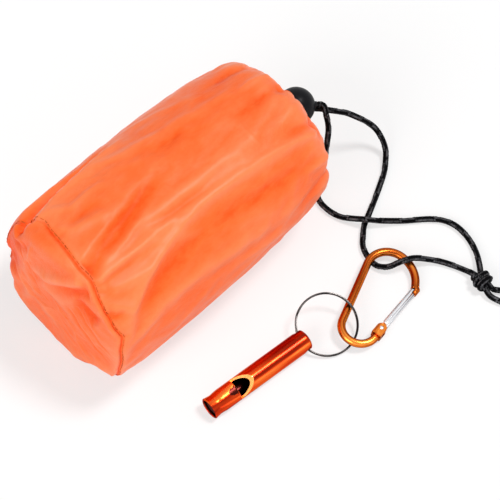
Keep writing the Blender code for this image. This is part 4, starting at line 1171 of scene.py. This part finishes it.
(top_x, top_y), top_radius = TOP
inward = NOSE_RADIUS - top_radius
nose = (top_x - inward * cos(radians(NOSE_FROM)), top_y - inward * sin(radians(NOSE_FROM)))
bar_line = [tuple(gate_turn @ Vector((-2.5, 0, 0)))] + arc(*BOTTOM, 252.0, 90.0, 40)
bar_line += [(x, 0.0, 0.0) for x in np.linspace(-1.0, 23.2, 16)]
bar_line += arc(*TOP, 90.0, NOSE_FROM, 30) + arc(nose, NOSE_RADIUS, NOSE_FROM, NOSE_TO, 20)[1:]
bar_line.append(tuple(gate_turn @ Vector((23.5, 0, 0))))
carabiner_bar = mesh_piece("carabiner_bar", *sweep(placed(bar_line, to_carabiner), circle(BAR_RADIUS, 28)))
collar_profile = [(21.2, 0.0), (21.2, 1.6), (21.4, 1.85), (24.2, 1.85), (24.6, 1.6), (24.6, 0.0)]
collar_points, collar_faces = lathe(collar_profile, 32)
combined(carabiner_bar, [
    (outward(mesh_from("collar", placed(collar_points, to_gate), collar_faces)), "UNION"),
    (bar_mesh(FORK_RADIUS, -FORK_HALF, FORK_HALF, 36, "Z", to_gate), "UNION"),
    (block_mesh((-3.6, -FORK_RADIUS, -FORK_HALF), (0.0, FORK_RADIUS, FORK_HALF), to_gate), "UNION"),
    (block_mesh((-1.9, -PAST, -FORK_SLOT_HALF), (PAST, PAST, FORK_SLOT_HALF), to_gate), "DIFFERENCE"),
    (bar_mesh(PIN_HOLE, -PAST, PAST, 24, "Z", to_gate), "DIFFERENCE"),
    (block_mesh((20.2, -0.15, -PAST), (23.0, PAST, PAST), to_gate), "DIFFERENCE"),
], bevel=0.22, segments=3)
gate_profile = [(2.5, 0.0), (2.5, 1.25), (2.75, GATE_RADIUS), (22.5, GATE_RADIUS), (22.7, 1.35), (22.7, 0.0)]
gate_bar = mesh_piece("gate_bar", *lathe(gate_profile, 40), to_gate)
combined(gate_bar, [
    (block_mesh((0.0, -TONGUE_RADIUS, -TONGUE_HALF), (3.5, TONGUE_RADIUS, TONGUE_HALF), to_gate), "UNION"),
    (bar_mesh(TONGUE_RADIUS, -TONGUE_HALF, TONGUE_HALF, 32, "Z", to_gate), "UNION"),
    (block_mesh((20.9, -PAST, -PAST), (23.7, 0.15, PAST), to_gate), "DIFFERENCE"),
    (bar_mesh(PIN_HOLE, -PAST, 12.0, 20, "X", to_gate), "DIFFERENCE"),
    (bar_mesh(PIN_HOLE, -PAST, PAST, 24, "Z", to_gate), "DIFFERENCE"),
], bevel=0.12)
half_rivet = [(2.22, 0.0), (2.2, 0.3), (2.1, 0.62), (1.98, 0.78), (1.95, 0.5)]
rivet = [(-x, r) for x, r in half_rivet] + half_rivet[::-1]
gate_rivet = mesh_piece("gate_rivet", *lathe(rivet, 32), to_gate @ Matrix.Rotation(-pi / 2, 4, "Y"))
along_gate = to_gate @ Matrix.Rotation(pi / 2, 4, "Y")
gate_coil_line = placed(helix((0.38, 0.38), 1.1, 11.59, 7.0, 18), along_gate)
gate_coil = mesh_piece("gate_coil", *sweep(gate_coil_line, circle(0.11, 8)))
mark_drawn(carabiner_bar, placed(bar_line, to_carabiner))
mark_drawn(gate_bar, placed([(x, 0.0, 0.0) for x in np.linspace(0, 23, 24)], to_gate))
mark_drawn(gate_rivet, placed([(0.0, 0.0, z) for z in (-2, 0, 2)], to_gate))
print("carabiner", len(carabiner_bar.data.polygons), "gate", len(gate_bar.data.polygons), "faces")

# %% [markdown]
# ## Split ring
# Nearly two turns of flattened wire. A short step lets one turn climb over the other, and both wire ends
# show. A torus would look like a plain ring, so the section is placed along a route that makes the step.

# %% Split ring
RING_AT, RING_TURN = (20.03, -66.25, 6.0), (24.6, 0.0, -21.9)
RING_RADIUS, RING_LAYERS = 12.35, 0.72
RING_START, RING_TRAVEL, CLIMB_FROM, CLIMB_OVER = 170.0, 690.0, 330.0, 30.0
WIRE_WIDTH, WIRE_HEIGHT, WIRE_ROUNDING = 0.9, 0.6, 0.2
WIRE_SHARE, WIRE_END_SHARE = 0.9, 0.72
to_ring = pose(RING_AT, RING_TURN)
def ring_line(steps=340):
    """Angle and height of each point of the wire's middle."""
    spots = []
    for i in range(steps + 1):
        travelled = RING_TRAVEL * i / steps
        climb = min(1.0, max(0.0, (travelled - CLIMB_FROM) / CLIMB_OVER))
        z = RING_LAYERS * (climb * climb * (3 - 2 * climb) - 0.5)
        spots.append((radians(RING_START + travelled), z))
    return spots

def ring_rows(line, wire):
    """The wire's section at each point of the line, a little smaller at both ends."""
    rows = []
    for i, (a, z) in enumerate(line):
        size = WIRE_END_SHARE if i in (0, len(line) - 1) else WIRE_SHARE
        rows += [((RING_RADIUS + u * size) * cos(a), (RING_RADIUS + u * size) * sin(a), z + v * size)
                 for u, v in wire]
    return rows

wire = rounded_rectangle(WIRE_WIDTH, WIRE_HEIGHT, WIRE_ROUNDING, 3)
line = ring_line()
sides = len(wire)
faces = [tuple(f) for f in grid_faces(len(line), sides)]
faces += [tuple(range(sides))[::-1], tuple(range((len(line) - 1) * sides, len(line) * sides))]
key_ring = mesh_piece("key_ring", ring_rows(line, wire), faces, to_ring)
full_turn = np.linspace(0, 2 * pi, 181)
mark_drawn(key_ring, placed([(RING_RADIUS * cos(a), RING_RADIUS * sin(a), 0.0) for a in full_turn], to_ring))
print("ring", len(key_ring.data.polygons), "faces")

# %% [markdown]
# ## Whistle
# A turned tube whose ring end is solid and cross-drilled. Its window has a straight wall towards the mouth
# and a long slanted cut on the far side, which leaves a sharp lip. The wall before the window is pressed in.
# The tube is turned as one closed wall, because a Solidify modifier would thin the lip as the cut slants.

# %% Whistle
WHISTLE_AT, WHISTLE_TURN = (8.2, -64.33, 4.55), (22.2, 0.0, -4.9)
WHISTLE_RADIUS, WHISTLE_BORE, BORE_LENGTH, RING_HOLE = 4.5, 3.7, 40.0, 1.75
MOUTH, END = -46.6, 2.4
FLARE, NECK, NECK_AT = 0.1, 0.3, 3.2
PRESSED, PRESSED_TO = 0.85, 12.4
WHISTLE_SIDES = 72
to_whistle = pose(WHISTLE_AT, WHISTLE_TURN)
def whistle_tube():
    """Points and faces of the tube's wall, with a flared rim, a slight neck and the pressed stretch."""
    outer = [(MOUTH, 3.95), (MOUTH + 0.08, 4.4), (MOUTH + 0.3, 4.6)]
    for x in np.linspace(MOUTH + 0.7, MOUTH + PRESSED_TO, 22):
        flare = FLARE * np.exp(-(x - MOUTH) / 0.8)
        neck = NECK * np.exp(-((x - MOUTH - NECK_AT) / 1.9) ** 2)
        outer.append((x, WHISTLE_RADIUS + flare - neck))
    outer += [(x, WHISTLE_RADIUS) for x in np.linspace(MOUTH + 13, END - 1.4, 24)]
    outer += [(END - 0.9, 4.42), (END - 0.5, 4.1), (END - 0.2, 3.5), (END, 2.4), (END, 0.0)]
    inner = [(MOUTH + BORE_LENGTH, 0.0), (MOUTH + BORE_LENGTH, WHISTLE_BORE)]
    inner += [(x, WHISTLE_BORE) for x in np.linspace(MOUTH + BORE_LENGTH - 1, MOUTH + 0.3, 44)]
    profile = outer + inner
    points, _ = lathe(profile, WHISTLE_SIDES)
    x, y, z = points.T
    angle = np.degrees(np.arctan2(y, z))
    reach = np.clip((x - MOUTH - 1.0) / 11.4, 0, 1) * (x < MOUTH + PRESSED_TO + 0.05)
    points[:, 2] -= PRESSED * reach ** 1.3 * np.exp(-(np.abs(angle) / 38) ** 3)
    return points, [tuple(f) for f in grid_faces(len(profile), WHISTLE_SIDES, True, True)]

whistle = mesh_piece("whistle_tube_turned", *whistle_tube(), to_whistle, angle=40)
window = [(MOUTH + x, z) for x, z in ((12.6, 1.4), (12.6, 7.0), (22.3, 7.0), (20.4, 4.5), (14.2, 1.4))]
combined(whistle, [
    (bar_mesh(RING_HOLE, -5.5, 5.5, 36, "Y", to_whistle), "DIFFERENCE"),
    (prism_mesh(window, -6.0, 6.0, to_whistle), "DIFFERENCE"),
], bevel=0.12)
def mark_whistle():
    """Marks the faces inside the bore for painted shade, and the cut faces of the window for bare metal with
    a painted highlight.
    """
    back = to_whistle.inverted()
    (x0, z0), (x1, z1) = window[4], window[3]
    cut = Vector((z1 - z0, 0.0, x0 - x1)).normalized()
    bore_shade, bare_edge_and_highlight = [], []
    for face in whistle.data.polygons:
        spots = [back @ (whistle.data.vertices[i].co / MM) for i in face.vertices]
        radii = [np.hypot(spot.y, spot.z) for spot in spots]
        on_cut = all(abs((spot - Vector((x0, 0.0, z0))).dot(cut)) < 0.14 for spot in spots)
        on_wall = all(abs(spot.x - window[0][0]) < 0.02 for spot in spots)
        past_rim = min(spot.x for spot in spots) > MOUTH + 0.2
        # Cut faces of the window: bare metal at the cut, painted pale gold as a highlight.
        bare_edge_and_highlight.append(float((on_cut or on_wall) and min(radii) > 3.4))
        # Faces in the bore: painted dark as shade inside the tube.
        bore_shade.append(float(max(radii) < 4.0 and past_rim and not bare_edge_and_highlight[-1]))
    for name, values in (("bore_shade", bore_shade), ("bare_edge_and_highlight", bare_edge_and_highlight)):
        whistle.data.attributes.new(name, "FLOAT", "FACE").data.foreach_set("value", values)
    print("whistle faces in the bore", int(sum(bore_shade)), "on cut edges", int(sum(bare_edge_and_highlight)))

mark_whistle()
mark_drawn(whistle, placed([(x, 0.0, 0.0) for x in np.linspace(MOUTH, END, 50)], to_whistle))
plug_profile = [(1.2, 0.0), (1.2, 3.25), (1.35, 3.4), (11.9, 3.4), (12.0, 3.3), (12.0, 0.0)]
plug_points, plug_faces = lathe([(MOUTH + x, r) for x, r in plug_profile], 48)
whistle_plug = mesh_piece("whistle_plug", plug_points, plug_faces, to_whistle)
air_slot = block_mesh((MOUTH - 1, -4.5, 2.1), (MOUTH + 13, 4.5, 5.5), to_whistle)
combined(whistle_plug, [(air_slot, "DIFFERENCE")], bevel=0.15)
print("whistle", len(whistle.data.polygons), "plug", len(whistle_plug.data.polygons), "faces")

# %% [markdown]
# ## Shader groups
# Cloth, yarn, plastic and metal all need a drift of tone and a fine grain, and the cloth needs a weave. Each
# effect could be copied into every material. As a group it is built once, takes its own values in each
# material and hands over a colour or a height. The shader stays in the material, with its plain values.

# %% Shader groups
def shader_group(name, inputs, outputs):
    """Empty group with inputs and outputs of (name, kind)."""
    group = bpy.data.node_groups.new(name, "ShaderNodeTree")
    kinds = {"colour": "NodeSocketColor", "value": "NodeSocketFloat", "vector": "NodeSocketVector"}
    for key, kind in inputs:
        group.interface.new_socket(key, in_out="INPUT", socket_type=kinds[kind])
    for key, kind in outputs:
        group.interface.new_socket(key, in_out="OUTPUT", socket_type=kinds[kind])
    tree = Tree(group)
    return group, tree, tree.add("NodeGroupInput"), tree.add("NodeGroupOutput")

def between(t, share, first, second, blend="MIX"):
    """Colour that goes from the first to the second with a share; each is a colour or a socket."""
    # A mix of colours has its share at socket 0 and the colours at 6 and 7
    mix = t.add("ShaderNodeMix", data_type="RGBA", blend_type=blend)
    for socket, value in ((0, share), (6, first), (7, second)):
        t.put(mix.inputs[socket], value)
    return mix.outputs[2]

def tone_group():
    """A colour that drifts a little lighter and darker over the surface."""
    group, t, given, result = shader_group(
        "tone",
        [("Vector", "vector"), ("Colour", "colour"), ("Light", "colour"), ("Scale", "value"),
         ("Amount", "value")],
        [("Colour", "colour")])
    cloud = t.add("ShaderNodeTexNoise", {
        "Vector": given.outputs["Vector"], "Scale": given.outputs["Scale"], "Detail": 4.0, "Roughness": 0.6})
    mask = t.add("ShaderNodeMapRange", {"Value": cloud.outputs["Fac"], "From Min": 0.35, "From Max": 0.68})
    share = t.maths("MULTIPLY", mask.outputs[0], given.outputs["Amount"])
    t.put(result.inputs["Colour"], between(t, share, given.outputs["Colour"], given.outputs["Light"]))
    return group

def weave_group():
    """Plain weave from its map in metres: its height, and slow streaks along the threads."""
    group, t, given, result = shader_group(
        "weave", [("Vector", "vector"), ("Threads Per Metre", "value")],
        [("Height", "value"), ("Streaks", "value")])
    parts = t.add("ShaderNodeSeparateXYZ", {"Vector": given.outputs["Vector"]})
    density = given.outputs["Threads Per Metre"]
    u = t.maths("MULTIPLY", t.maths("MULTIPLY", parts.outputs["X"], density), 2 * pi)
    v = t.maths("MULTIPLY", t.maths("MULTIPLY", parts.outputs["Y"], density), 2 * pi)
    crossing = t.maths("MULTIPLY", t.maths("SINE", u), t.maths("SINE", v))
    t.put(result.inputs["Height"], t.maths("MULTIPLY_ADD", crossing, 0.5, 0.5))
    stretched_and_shade = t.add("ShaderNodeMapping", {"Vector": given.outputs["Vector"], "Scale": (1400.0, 26.0, 1.0)})
    slubs = t.add("ShaderNodeTexNoise", {"Vector": stretched_and_shade.outputs[0], "Scale": 1.0, "Detail": 2.0})
    t.put(result.inputs["Streaks"], slubs.outputs["Fac"])
    return group

def grain_group():
    """Noise drawn out by its scale, as a height, and a finer one for the roughness."""
    group, t, given, result = shader_group(
        "grain", [("Vector", "vector"), ("Scale", "vector"), ("Detail", "value")],
        [("Height", "value"), ("Fine", "value")])
    stretched_and_shade = t.vector("MULTIPLY", given.outputs["Vector"], given.outputs["Scale"])
    coarse = t.add("ShaderNodeTexNoise", {
        "Vector": stretched_and_shade, "Scale": 1.0, "Detail": given.outputs["Detail"], "Roughness": 0.65})
    fine = t.add("ShaderNodeTexNoise", {"Vector": stretched_and_shade, "Scale": 3.7, "Detail": 2.0})
    t.put(result.inputs["Height"], coarse.outputs["Fac"])
    t.put(result.inputs["Fine"], fine.outputs["Fac"])
    return group

tone, weave, grain = tone_group(), weave_group(), grain_group()
print("shader groups ready")

# %% [markdown]
# ## Starting a material
# Every material starts from the Principled shader that Blender puts in a new one. What is the same all over
# a piece is set on the shader's own sockets, and the helpers below feed only what changes over its surface.

# %% Material helpers
def start_material(material, colour, roughness, metallic=0.0, **uniform):
    """Gives a material its Principled shader with the values that are the same all over."""
    if isinstance(material, str):
        material = bpy.data.materials.new(material)
    material.use_nodes = True
    t = Tree(material.node_tree)
    shader = material.node_tree.nodes["Principled BSDF"]
    shader.inputs["Base Color"].default_value = (*colour, 1.0)
    shader.inputs["Roughness"].default_value = roughness
    shader.inputs["Metallic"].default_value = metallic
    for key, value in uniform.items():
        shader.inputs[key.replace("_", " ")].default_value = value
    material.diffuse_color = (*colour, 1.0)
    return material, t, shader

def use_group(t, group, inputs):
    """Node that runs a group with the given inputs."""
    node = t.tree.nodes.new("ShaderNodeGroup")
    node.node_tree = group
    for key, value in inputs.items():
        t.put(node.inputs[key], value)
    return node

def ranged(t, value, low, high):
    """A value of 0 to 1 brought to the range from low to high."""
    return t.add("ShaderNodeMapRange", {"Value": value, "To Min": low, "To Max": high}).outputs[0]

def ramped(t, value, tones):
    """Colour from a ramp of (position, colour)."""
    ramp = t.add("ShaderNodeValToRGB", {"Fac": value})
    stops = ramp.color_ramp.elements
    while len(stops) < len(tones):
        stops.new(0.5)
    for stop, (position, colour) in zip(stops, tones):
        stop.position, stop.color = position, (*colour, 1.0)
    return ramp.outputs["Color"]

def bumped(t, shader, height, distance, strength=1.0, before=None):
    """Bump from a height, over an earlier bump where one is given."""
    bump = t.add("ShaderNodeBump", {"Height": height, "Distance": distance, "Strength": strength})
    if before is not None:
        t.put(bump.inputs["Normal"], before)
    t.put(shader.inputs["Normal"], bump.outputs[0])
    return bump.outputs[0]

def clouded(t, colour, light, size, amount):
    """Colour that drifts between two tones over the piece."""
    place_in = t.add("ShaderNodeTexCoord")
    cloud = use_group(t, tone, {
        "Vector": place_in.outputs["Object"], "Colour": (*colour, 1.0), "Light": (*light, 1.0),
        "Scale": size, "Amount": amount})
    return cloud.outputs["Colour"]

def rough_skin(t, shader, size, detail, bump, strength, low, high):
    """Fine grain that bumps the surface and varies its roughness between low and high."""
    place_in = t.add("ShaderNodeTexCoord")
    skin = use_group(t, grain, {"Vector": place_in.outputs["Object"], "Scale": size, "Detail": detail})
    bumped(t, shader, skin.outputs["Height"], bump, strength)
    t.put(shader.inputs["Roughness"], ranged(t, skin.outputs["Fine"], low, high))

print("material helpers ready")

# %% [markdown]
# ## Fabric and thread
# The sack is thin coated nylon. Its colour carries painted shade and sheen: deep orange painted in the folds,
# paler with more gloss on the raised parts. A picture of cloth could be laid on it. Instead the colour
# follows the attribute that the panels wrote, so it fits the folds. The yarn of the cord is black with a
# painted highlight, a pale fleck, wherever a yarn lies on top of the braid.

# %% Fabric and thread materials
# Painted shade and sheen: the first tone is painted deep in the folds, the last pale on the raised parts.
NYLON_TONES = [(0.0, (0.95, 0.09, 0.004)), (0.18, (1.0, 0.135, 0.016)), (1.0, (1.0, 0.225, 0.062))]
def nylon_material(name, tones, amount):
    """Tones go from painted shade deep in the folds to a painted sheen on the raised parts, and amount is how
    unevenly they change.
    """
    material, t, shader = start_material(
        name, tones[1][1], 0.45, Specular_IOR_Level=0.12, Coat_Roughness=0.48, Sheen_Weight=0.05,
        Sheen_Roughness=0.5)
    place_in = t.add("ShaderNodeTexCoord")
    # The panels' attribute drives painted shade in the folds and a painted sheen where the fabric stands out.
    fold_shade = t.add("ShaderNodeAttribute", attribute_name="stretched_and_shade")
    crumple = use_group(t, grain, {
        "Vector": place_in.outputs["Object"], "Scale": (210.0, 380.0, 380.0), "Detail": 5.0})
    uneven = t.maths("MULTIPLY_ADD", crumple.outputs["Height"], amount, -amount / 2)
    raised = t.maths("ADD", fold_shade.outputs["Fac"], uneven)
    cloth = use_group(t, weave, {"Vector": place_in.outputs["UV"], "Threads Per Metre": 3600.0})
    level = ranged(t, cloth.outputs["Streaks"], 0.86, 1.1)
    grey = t.add("ShaderNodeCombineColor")
    for k in range(3):
        t.put(grey.inputs[k], level)
    streaked = between(t, 0.5, ramped(t, raised, tones), grey.outputs[0], "MULTIPLY")
    t.put(shader.inputs["Base Color"], streaked)
    soft = bumped(t, shader, crumple.outputs["Height"], 0.0007, 0.6)
    bumped(t, shader, cloth.outputs["Height"], 0.00004, 0.6, soft)
    t.put(shader.inputs["Roughness"], ranged(t, crumple.outputs["Fine"], 0.4, 0.55))
    t.put(shader.inputs["Coat Weight"], ranged(t, raised, 0.1, 0.9))
    return material

def thread_material(material, colour, light, roughness, gloss, crests=False):
    """Yarn or thread. With crests, its light tone shows only on top of the braid, as a painted highlight."""
    material, t, shader = start_material(material, colour, roughness, Specular_IOR_Level=gloss)
    paint = clouded(t, colour, light, 420.0, 1.0)
    if crests:
        # Painted highlight: the light tone only where a yarn lies on top of the braid.
        lifted = t.add("ShaderNodeAttribute", attribute_name="crest_highlight")
        top = t.add("ShaderNodeMapRange", {
            "Value": lifted.outputs["Fac"], "From Min": 0.62, "From Max": 0.97})
        paint = between(t, top.outputs[0], (*colour, 1.0), paint)
    t.put(shader.inputs["Base Color"], paint)
    rough_skin(t, shader, (5200.0,) * 3, 2.0, 0.00005, 0.8, roughness - 0.08, roughness + 0.12)
    return material

orange_nylon = nylon_material("orange_nylon_cloth", NYLON_TONES, 0.6)
thread_material(seam_thread, (0.5, 0.06, 0.01), (0.9, 0.2, 0.035), 0.7, 0.1)
# Its second colour is the painted highlight on top of the braid.
thread_material(black_yarn, (0.0006, 0.0006, 0.001), (0.13, 0.13, 0.14), 0.6, 0.04, crests=True)
film, t, shader = start_material("metallised_film", (0.9, 0.36, 0.14), 0.28, 0.75)
rough_skin(t, shader, (90.0, 240.0, 240.0), 5.0, 0.0012, 0.7, 0.2, 0.4)
print("fabric, yarn and film ready")

# %% [markdown]
# ## Plastic and metal
# The lock is satin moulded plastic. The bar and the whistle are anodised, the gate is bare aluminium, the
# ring nickel plated. A plain metal would only mirror an empty white room, so its colour carries painted
# reflections: light and dark bands along the line that it was drawn along, like those that polished metal
# shows. The painted bands stay on the surface.

# %% Plastic and metal materials
def plastic_material(name, colour, roughness, grain_size):
    """Satin plastic with a faint moulded grain."""
    material, t, shader = start_material(name, colour, roughness, Specular_IOR_Level=0.09)
    light = [c * 1.5 + 0.001 for c in colour]
    t.put(shader.inputs["Base Color"], clouded(t, colour, light, 180.0, 0.6))
    rough_skin(t, shader, (grain_size,) * 3, 3.0, 0.00004, 0.5, roughness - 0.06, roughness + 0.1)
    return material

def drawn_metal_with_reflections(name, tones, edge, roughness, streaks=(1.6, 1.6, 0.35), brush=0.3, marks=(), dye=0.0):
    """Metal with soft streaks and painted reflections. tones are (share, colour) from the darkest painted
    reflection band on, edge tints what the metal reflects edge-on, marks are (attribute, colour) for special
    faces, and dye is the weight of the clear layer that anodising leaves."""
    material, t, shader = start_material(
        name, tones[1][1], roughness, 1.0, Coat_Weight=dye, Coat_Roughness=0.14,
        Specular_Tint=(*edge, 1.0))
    way = t.add("ShaderNodeAttribute", attribute_name="drawn")
    reflection_bands = use_group(t, grain, {"Vector": way.outputs["Vector"], "Scale": streaks, "Detail": 1.0})
    thin = [size * k for size, k in zip(streaks, (16, 16, 5))]
    lines = use_group(t, grain, {"Vector": way.outputs["Vector"], "Scale": thin, "Detail": 3.0})
    # Painted reflections: light and dark bands in the base colour along the drawn line.
    colour = ramped(t, reflection_bands.outputs["Height"], tones)
    for attribute, paint in marks:
        mask = t.add("ShaderNodeAttribute", attribute_name=attribute)
        colour = between(t, mask.outputs["Fac"], colour, (*paint, 1.0))
    t.put(shader.inputs["Base Color"], colour)
    bumped(t, shader, lines.outputs["Height"], 0.00003, brush)
    t.put(shader.inputs["Roughness"], ranged(t, lines.outputs["Fine"], roughness - 0.05, roughness + 0.08))
    return material

# Each ramp runs from the darkest painted reflection band to the lightest.
GREY_TONES = [(0.3, (0.28,) * 3), (0.5, (0.45,) * 3), (0.7, (0.65,) * 3)]
ORANGE_TONES = [(0.34, (0.26, 0.045, 0.003)), (0.46, (0.42, 0.085, 0.009)), (0.58, (0.62, 0.16, 0.02)),
                (0.68, (0.8, 0.26, 0.04))]
SILVER_TONES = [(0.34, (0.4, 0.4, 0.43)), (0.46, (0.7, 0.7, 0.73)), (0.56, (0.9, 0.9, 0.92)),
                (0.68, (0.6, 0.6, 0.63))]
NICKEL_TONES = [(0.36, (0.016, 0.014, 0.014)), (0.5, (0.045, 0.04, 0.039)), (0.66, (0.2, 0.18, 0.17))]
RED_TONES = [(0.36, (0.28, 0.01, 0.0005)), (0.47, (0.48, 0.028, 0.002)), (0.57, (0.68, 0.06, 0.006)),
             (0.68, (0.8, 0.13, 0.018))]
black_plastic = plastic_material("black_plastic_shell", (0.004, 0.004, 0.0055), 0.36, 2600.0)
button_plastic = plastic_material("black_plastic_button", (0.006, 0.006, 0.0075), 0.42, 2600.0)
plug_plastic = plastic_material("dark_plug", (0.05, 0.012, 0.01), 0.5, 1800.0)
steel = drawn_metal_with_reflections("spring_wire", GREY_TONES, (0.6, 0.6, 0.6), 0.3)
orange_metal = drawn_metal_with_reflections("orange_anodised_bar", ORANGE_TONES, (0.45, 0.3, 0.2), 0.2, dye=0.08)
bare_metal = drawn_metal_with_reflections("bare_aluminium_bar", SILVER_TONES, (0.35, 0.35, 0.37), 0.24, (2.6, 2.6, 0.3), 0.5)
nickel = drawn_metal_with_reflections("nickel_wire", NICKEL_TONES, (0.6, 0.6, 0.6), 0.25, (0.3, 0.3, 0.9))
# Painted shade inside the bore, and the window's cut faces painted pale gold: bare metal with a painted
# highlight.
whistle_shade_and_highlight = [("bore_shade", (0.05, 0.004, 0.002)), ("bare_edge_and_highlight", (0.62, 0.26, 0.07))]
red_metal = drawn_metal_with_reflections(
    "red_anodised_tube", RED_TONES, (0.6, 0.36, 0.3), 0.2, marks=whistle_shade_and_highlight, dye=0.1)
coats = {
    orange_nylon: (side_panel, base_panel, hem), film: (roll,), black_plastic: (lock_ball,),
    button_plastic: (lock_button,), plug_plastic: (whistle_plug,), steel: (lock_coil, gate_coil),
    orange_metal: (carabiner_bar,), bare_metal: (gate_bar, gate_rivet), nickel: (key_ring,),
    red_metal: (whistle,),
}
for material, pieces in coats.items():
    for piece in pieces:
        piece.data.materials.clear()
        piece.data.materials.append(material)
        piece.data.polygons.foreach_set("material_index", np.zeros(len(piece.data.polygons), np.int32))
print("materials:", sorted(m.name for m in bpy.data.materials))

# %% [markdown]
# ## What moves with what
# Each piece stands for its CAD node and rides on that node's body. The two strands, fixed in the sack at the
# floor and held by the lock at their top, and the lock's spring, with one end in the ball and one on the
# button, are listed with a blend between both bodies. The blend is not set up here: these three pieces stay
# where they lie and ride on no body.

# %% Bodies, replaced nodes and slots
# A blend is written as both bodies and, in metres, where the first lets go and where the second holds
strand_bend = ("sack", "cord_lock", (0.077, -0.006, 0.010), (0.077, -0.006, 0.030))
coil_ends = placed([(0.0, 0.0, COIL_HIGH), (0.0, 0.0, COIL_LOW)], to_lock) * MM
coil_squeeze = ("cord_lock", "lock_button", tuple(coil_ends[0]), tuple(coil_ends[1]))
knot_wrap = cords["drawcord_knot_wrap"]
stands_for = [
    (side_panel, "sack", "orange_nylon", ("sack_side_panel",)),
    (base_panel, "sack", "orange_nylon", ("sack_base_panel",)),
    (base_stitches, "sack", "orange_thread", ("base_seam_thread",)),
    (side_stitches, "sack", "orange_thread", ("side_seam_thread",)),
    (hem, "sack", "orange_nylon", ("mouth_hem",)),
    (roll, "sack", "orange_film", ("sleeping_bag_roll",)),
    (cords["drawcord_loop"], "sack", "black_cord", ("drawcord_channel_loop",)),
    (knot_wrap, "sack", "black_cord", ("drawcord_knot",)),
    (cords["drawcord_a"], strand_bend, "black_cord", ("drawcord_strand_a", "drawcord_tail_a")),
    (cords["drawcord_b"], strand_bend, "black_cord", ("drawcord_strand_b", "drawcord_tail_b")),
    (lock_ball, "cord_lock", "black_plastic", ("lock_body",)),
    (lock_coil, coil_squeeze, "spring_steel", ("lock_spring",)),
    (lock_button, "lock_button", "button_plastic", ("lock_plunger",)),
    (carabiner_bar, "carabiner", "orange_anodised", ("carabiner_frame",)),
    (gate_rivet, "carabiner", "bare_aluminium", ("gate_pivot_pin",)),
    (gate_bar, "gate", "bare_aluminium", ("carabiner_gate",)),
    (gate_coil, "gate", "spring_steel", ("gate_spring",)),
    (key_ring, "ring", "nickel", ("split_ring",)),
    (whistle, "whistle", "red_anodised", ("whistle_tube",)),
    (whistle_plug, "whistle", "plug_plastic", ("whistle_mouth_plug",)),
]
for piece, body, slot, replaced in stands_for:
    if isinstance(body, str):
        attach(piece, body)
    else:
        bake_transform(piece)
    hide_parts(*replaced)
for name, extras in (("drawcord_a", [knot_wrap]), ("drawcord_b", [])):
    line = routes[name] * MM
print(len(stands_for), "pieces placed")

# %% [markdown]
# ## Floor, light and background
# A pale floor keeps a soft shadow. The key light stands high on the right of the picture. A wide one from
# the left, a low one from the left front and a faint low one from the front fill the shaded sides, and the
# world does the rest. For the camera, and for rays that reflect or pass through, it is plain white.
# Area lamps would fall off over the sack. Suns keep their strength, and their angle makes them soft.

# %% Floor and light
# Half its side, its height, and how much of it the camera sees as plain white
FLOOR_HALF, FLOOR_Z, FLOOR_WHITE = 900, -0.15, 0.62
WORLD_LIGHT, WORLD_SEEN = 0.3, 1.0
around_floor = ((-1, -1), (1, -1), (1, 1), (-1, 1))
floor_corners = [(sx * FLOOR_HALF, sy * FLOOR_HALF, FLOOR_Z) for sx, sy in around_floor]
floor = link("floor", mesh_from("floor", floor_corners, [(0, 1, 2, 3)], False))
floor_paint, t, shader = start_material("floor_paint", (0.9, 0.9, 0.9), 0.9, Specular_IOR_Level=0.0)
t.put(shader.inputs["Base Color"], clouded(t, (0.93, 0.93, 0.93), (0.95, 0.95, 0.95), 6.0, 1.0))
paper_white = t.add("ShaderNodeEmission", {"Color": (1.0, 1.0, 1.0, 1.0), "Strength": 1.0})
eye = t.add("ShaderNodeLightPath")
look = t.add("ShaderNodeMixShader")
t.put(look.inputs[0], t.maths("MULTIPLY", eye.outputs["Is Camera Ray"], FLOOR_WHITE))
t.put(look.inputs[1], shader.outputs[0])
t.put(look.inputs[2], paper_white.outputs[0])
t.put(floor_paint.node_tree.nodes["Material Output"].inputs["Surface"], look.outputs[0])
floor.data.materials.append(floor_paint)

def lamp(name, azimuth, elevation, strength, size):
    """Sun from an azimuth and an elevation in degrees, with its strength and its size in degrees."""
    light = bpy.data.lights.new(name, "SUN")
    light.energy = strength
    light.angle = radians(size)
    sun = link(name, light)
    sun.rotation_euler = look_from(azimuth, elevation).to_track_quat("Z", "Y").to_euler()

lamp("key", 56.0, 66.0, 1.85, 14.0)
lamp("side", -85.0, 34.0, 1.3, 35.0)
lamp("low", -40.0, 8.0, 0.5, 60.0)
lamp("front", 10.0, 6.0, 0.22, 24.0)
world = bpy.data.worlds.new("studio")
scene.world = world
world.use_nodes = True
t = Tree(world.node_tree)
background = world.node_tree.nodes["Background"]
background.inputs["Color"].default_value = (1.0, 1.0, 1.0, 1.0)
rays = t.add("ShaderNodeLightPath")
seen = t.maths("MAXIMUM", rays.outputs["Is Camera Ray"], rays.outputs["Is Glossy Ray"])
seen = t.maths("MAXIMUM", seen, rays.outputs["Is Transmission Ray"])
t.put(background.inputs["Strength"], ranged(t, seen, WORLD_LIGHT, WORLD_SEEN))
scene.view_settings.view_transform = "Standard"
print("lit")
